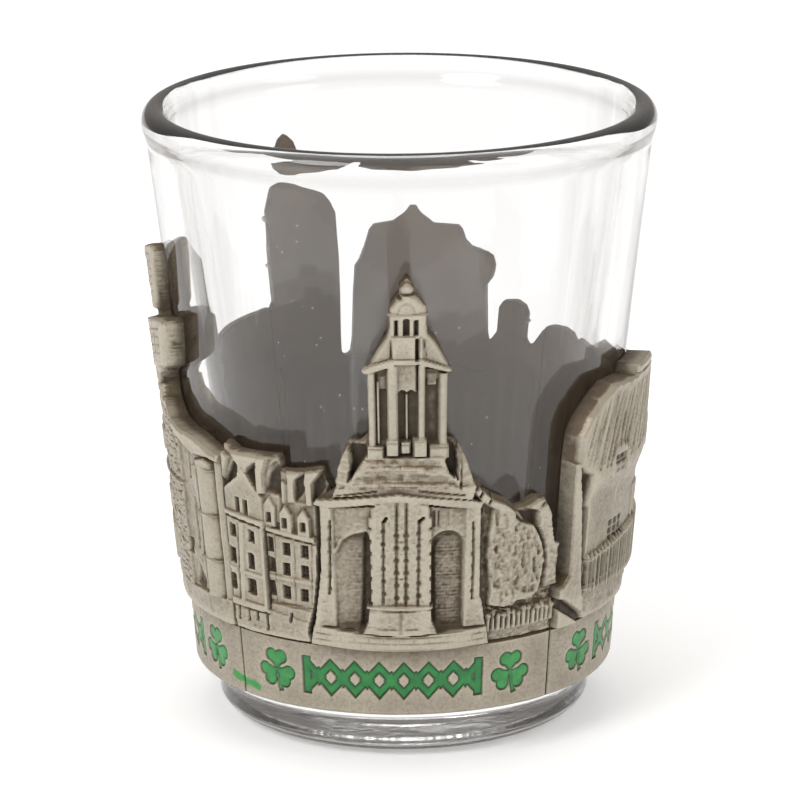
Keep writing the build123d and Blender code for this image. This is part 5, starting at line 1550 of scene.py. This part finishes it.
def pewter_material():
    """Antiqued pewter: rubbed pale metal, dark wash in the recesses with painted shade in places,
    and painted warm-brown shading on up-facing ledges.
    """
    n = Finish("antiqued_pewter")
    patina, soot_and_shade = n.attribute("patina"), n.attribute("soot_and_shade")
    broad, fine = n.noise(210, 4), n.noise(1500, 3)
    fleck = n.noise(3600, 2)
    clean = n.mix(n.spread(broad, 0.3, 0.7), linear(146, 138, 124), linear(164, 156, 141))
    clean = n.mix(n.spread(fleck, 0.42, 0.72, 0.0, 0.5), clean, linear(108, 99, 86))
    # painted shading: faces that point up are tinted warm brown by their direction, standing in for
    # how the light falls on the ledges
    facing = n.add("ShaderNodeSeparateXYZ")
    n.link(n.add("ShaderNodeNewGeometry").outputs["Normal"], facing.inputs[0])
    up_facing_shade = n.spread(facing.outputs["Z"], 0.06, 0.42)
    warm = n.mix(n.math("MULTIPLY", up_facing_shade, 0.9), clean, linear(96, 78, 54))
    uneven = n.math("MULTIPLY", n.spread(fine, 0.3, 0.7, -0.5, 0.5), 0.3)
    wash = n.spread(n.math("ADD", patina, uneven), 0.0, 0.95)
    washed = n.mix(wash, warm, linear(98, 87, 72))
    # near-black from the dark-wash attribute: patina in recesses, and painted shade where a shape
    # stands for a shadow
    grime_and_shade = n.spread(n.math("ADD", soot_and_shade, uneven), 0.12, 1.0)
    black = n.mix(grime_and_shade, washed, linear(62, 55, 46))
    shine = n.spread(n.math("MULTIPLY", patina, -1.0), 0.05, 0.6)
    rubbed = n.mix(n.math("MULTIPLY", shine, 0.4), black, linear(200, 193, 176))
    green = n.mix(n.attribute("paint"), rubbed, linear(40, 142, 66))
    n.link(green, n.shader.inputs["Base Color"])
    n.fixed(Metallic=0.3, Specular_IOR_Level=0.25)
    rough = n.math("ADD", n.spread(wash, 0, 1, 0.42, 0.66), n.spread(fine, 0.3, 0.7, -0.05, 0.05))
    n.link(rough, n.shader.inputs["Roughness"])
    n.bump(n.math("ADD", fine, n.math("MULTIPLY", fleck, 0.8)), 0.6, 0.00008)
    return n.material


def back_material():
    """Unpolished back of the casting, seen through the glass, with tiny bright specks."""
    n = Finish("casting_back")
    tone = n.mix(n.spread(n.noise(160, 3), 0.3, 0.7), linear(120, 100, 78), linear(140, 119, 94))
    speck = n.add("ShaderNodeTexVoronoi", feature="F1")
    speck.inputs["Scale"].default_value = 800
    n.link(n.position(), speck.inputs["Vector"])
    dots = n.math("MULTIPLY", n.spread(speck.outputs["Distance"], 0.05, 0.11, 1, 0),
                  n.spread(n.noise(330, 1), 0.5, 0.56))
    n.link(n.mix(dots, tone, linear(225, 220, 210)), n.shader.inputs["Base Color"])
    n.fixed(Roughness=0.6, Metallic=0.2)
    n.bump(n.noise(900, 3), 0.12, 0.00003)
    return n.material


def adhesive_material():
    """Dark cured adhesive film with faint cloudiness and trapped specks."""
    n = Finish("adhesive_film")
    tone = n.mix(n.spread(n.noise(120, 3), 0.3, 0.7), linear(114, 96, 76), linear(132, 113, 91))
    speck = n.add("ShaderNodeTexVoronoi", feature="F1")
    speck.inputs["Scale"].default_value = 700
    n.link(n.position(), speck.inputs["Vector"])
    dots = n.math("MULTIPLY", n.spread(speck.outputs["Distance"], 0.05, 0.12, 1, 0),
                  n.spread(n.noise(300, 1), 0.5, 0.56))
    n.link(n.mix(dots, tone, linear(225, 220, 210)), n.shader.inputs["Base Color"])
    n.fixed(Roughness=0.5)
    n.bump(n.noise(700, 2), 0.1, 0.00003)
    return n.material


def enamel_material(name, light, dark):
    """Hand-filled enamel: cloudy green, darker round the edge, with a soft gloss."""
    n = Finish(name)
    cloud = n.mix(n.spread(n.noise(900, 3), 0.32, 0.68), light, dark)
    edge = n.spread(n.attribute("edge"), 0.3, 1.0)
    tone = n.mix(n.math("MULTIPLY", edge, 0.75), cloud, linear(24, 74, 42))
    n.link(tone, n.shader.inputs["Base Color"])
    n.fixed(Roughness=0.38, Specular_IOR_Level=0.5)
    n.bump(n.noise(1400, 2), 0.25, 0.00005)
    return n.material


def glass_material():
    """Clear glass with a painted grey reflection where it is seen edge-on, broken up by faint drawn
    streaks up the wall.
    """
    n = Finish("clear_glass")
    stretch = n.add("ShaderNodeMapping")
    stretch.inputs["Scale"].default_value = (1.0, 1.0, 0.04)
    n.link(n.position(), stretch.inputs["Vector"])
    streak = n.add("ShaderNodeTexNoise")
    streak.inputs["Scale"].default_value = 420
    streak.inputs["Detail"].default_value = 2
    n.link(stretch.outputs["Vector"], streak.inputs["Vector"])
    # painted reflection: the glass turns grey towards grazing angles, modulated by the streaks,
    # standing in for dark surroundings reflected at its edges
    edge = n.add("ShaderNodeLayerWeight")
    edge.inputs["Blend"].default_value = 0.5
    rim = n.spread(edge.outputs["Facing"], 0.25, 0.95)
    amount = n.math("MULTIPLY", rim, n.spread(streak.outputs["Fac"], 0.38, 0.62, 0.2, 1.0))
    tint = n.mix(amount, (0.93, 0.932, 0.93, 1.0), (0.44, 0.435, 0.42, 1.0))
    n.link(tint, n.shader.inputs["Base Color"])
    n.fixed(Roughness=0.0, IOR=1.5, Transmission_Weight=1.0)
    n.bump(n.noise(90, 1), 0.05, 0.0002)
    return n.material


def base_material():
    """Stippled underside of the foot."""
    n = Finish("stippled_base")
    tint = n.mix(n.spread(n.noise(260, 3), 0.35, 0.65), (0.93, 0.93, 0.92, 1.0),
                 (0.98, 0.98, 0.98, 1.0))
    n.link(tint, n.shader.inputs["Base Color"])
    n.fixed(Roughness=0.28, IOR=1.5, Transmission_Weight=1.0)
    n.bump(n.math("ADD", n.noise(170, 3), n.math("MULTIPLY", n.noise(900, 2), 0.3)), 0.7, 0.0006)
    return n.material


def floor_material():
    """Plain pale table."""
    n = Finish("pale_floor")
    tone = n.mix(n.noise(6, 2), (0.93, 0.93, 0.93, 1), (0.96, 0.96, 0.96, 1))
    n.link(tone, n.shader.inputs["Base Color"])
    n.fixed(Roughness=0.6, Specular_IOR_Level=0.2, Emission_Color=(1.0, 1.0, 1.0, 1.0),
            Emission_Strength=0.2)
    return n.material


# ------------------------------------------------------------------ build the object
# one stray stroke of green enamel that crosses the seam: its path on each panel, and a seed
SMEARS = {"castle": ([(15.6, 6.75), (18, 6.6)], 3), "bell_tower": ([(-18, 6.6), (-14.9, 6.35)], 4)}


def stand_for(piece, node):
    """Let a piece take a CAD node's place."""
    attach(piece, "root")
    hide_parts(node)


def build_object():
    """The tumbler, and for each panel its casting, its adhesive film and three enamel fills."""
    pewter, rear = pewter_material(), back_material()
    glue = adhesive_material()
    greens = {
        "clover_enamel": enamel_material("clover_green", linear(54, 142, 72), linear(32, 114, 54)),
        "frieze_enamel": enamel_material("frieze_green", linear(34, 124, 58), linear(22, 100, 45)),
    }
    tumbler = revolve("tumbler", tumbler_profile(), TUMBLER_SEGMENTS,
                      (glass_material(), base_material()), UNDERSIDE_ROWS)
    stand_for(tumbler, "glass_tumbler")
    panels = (("bell_tower", bell_tower_relief, 0, 20.0), ("cottage", cottage_relief, 90, 31.0),
              ("round_tower", round_tower_relief, 180, 29.0), ("castle", castle_relief, -90, 29.0))
    for number, (name, scene_relief, angle, film_top) in enumerate(panels):
        turn = math.radians(angle)
        relief = scene_relief()
        if name in SMEARS:
            relief.smear(*SMEARS[name])
        panel = casting(name + "_casting", relief, turn, (pewter, rear), 200 + 31 * number)
        stand_for(panel, name + "_panel")
        layer = film(name + "_film", relief, film_top, turn, glue, 300 + number)
        stand_for(layer, name + "_adhesive")
        for part, shape, centre, height, reach, slot in ORNAMENTS:
            fill = enamel(f"{name}_{part}_fill", shape, centre, height, reach, turn, greens[slot],
                          400 + 7 * number)
            stand_for(fill, f"{name}_{part}")


# ------------------------------------------------------------------ stage, light and camera
def build_stage():
    """Large pale round table."""
    level = -0.05
    rings = [(radius, level) for radius in (4000.0, 1200.0, 400.0, 150.0, 60.0, 0.0)]
    revolve("table_top", rings, 64, (floor_material(),), 0)


def build_light():
    """Dim warm room under a bright ceiling, seen as plain white, and three soft boxes."""
    world = bpy.data.worlds.new("studio")
    bpy.context.scene.world = world
    n = Nodes(world)
    n.tree.nodes.clear()
    seen = n.add("ShaderNodeBackground")
    seen.inputs["Color"].default_value = (1, 1, 1, 1)
    seen.inputs["Strength"].default_value = 1.05
    height = n.add("ShaderNodeSeparateXYZ")
    n.link(n.add("ShaderNodeTexCoord").outputs["Generated"], height.inputs[0])
    glow = n.spread(height.outputs["Z"], 0.15, 0.75, 0.42, 0.88)
    lit = n.add("ShaderNodeBackground")
    n.link(n.mix(glow, (1.0, 0.9, 0.82, 1.0), (1.0, 1.0, 1.0, 1.0)), lit.inputs["Color"])
    n.link(glow, lit.inputs["Strength"])
    choice = n.add("ShaderNodeMixShader")
    n.link(n.add("ShaderNodeLightPath").outputs["Is Camera Ray"], choice.inputs["Fac"])
    n.link(lit.outputs[0], choice.inputs[1])
    n.link(seen.outputs[0], choice.inputs[2])
    n.link(choice.outputs[0], n.add("ShaderNodeOutputWorld").inputs["Surface"])
    middle = Vector((0, 0, 0.03))
    for name, spot, size, power in (("key", (-0.3, -0.42, 0.4), 0.3, 1.7),
                                    ("fill", (0.5, -0.3, 0.3), 0.3, 0.6),
                                    ("top", (0.0, 0.12, 0.7), 0.4, 0.7)):
        data = bpy.data.lights.new(name, "AREA")
        data.shape = "DISK"
        data.size = size
        data.energy = power
        lamp = place(name, data)
        lamp.location = spot
        lamp.rotation_euler = (middle - Vector(spot)).to_track_quat("-Z", "Y").to_euler()


CAMERA_DISTANCE = 0.402797
CAMERA_HEIGHT = 0.144403
CAMERA_PITCH = math.radians(15.813)
CAMERA_ROLL = math.radians(-0.4555)
CAMERA_TURN = math.radians(3.2)


def build_camera():
    """Long lens a little above the glass, turned slightly to its right."""
    data = bpy.data.cameras.new("camera")
    data.sensor_width = 36.0
    data.lens = 193.83
    data.shift_x = -0.002
    camera = place("camera", data)
    aside, ahead = math.sin(CAMERA_TURN), math.cos(CAMERA_TURN)
    camera.location = (CAMERA_DISTANCE * aside, -CAMERA_DISTANCE * ahead, CAMERA_HEIGHT)
    view = Vector((-aside * math.cos(CAMERA_PITCH), ahead * math.cos(CAMERA_PITCH),
                   -math.sin(CAMERA_PITCH)))
    camera.rotation_euler = view.to_track_quat("-Z", "Y").to_matrix().to_euler()
    camera.rotation_euler.rotate_axis("Z", CAMERA_ROLL)
    bpy.context.scene.camera = camera


build_object()
build_stage()
build_light()
build_camera()
bpy.context.scene.view_settings.view_transform = "Standard"
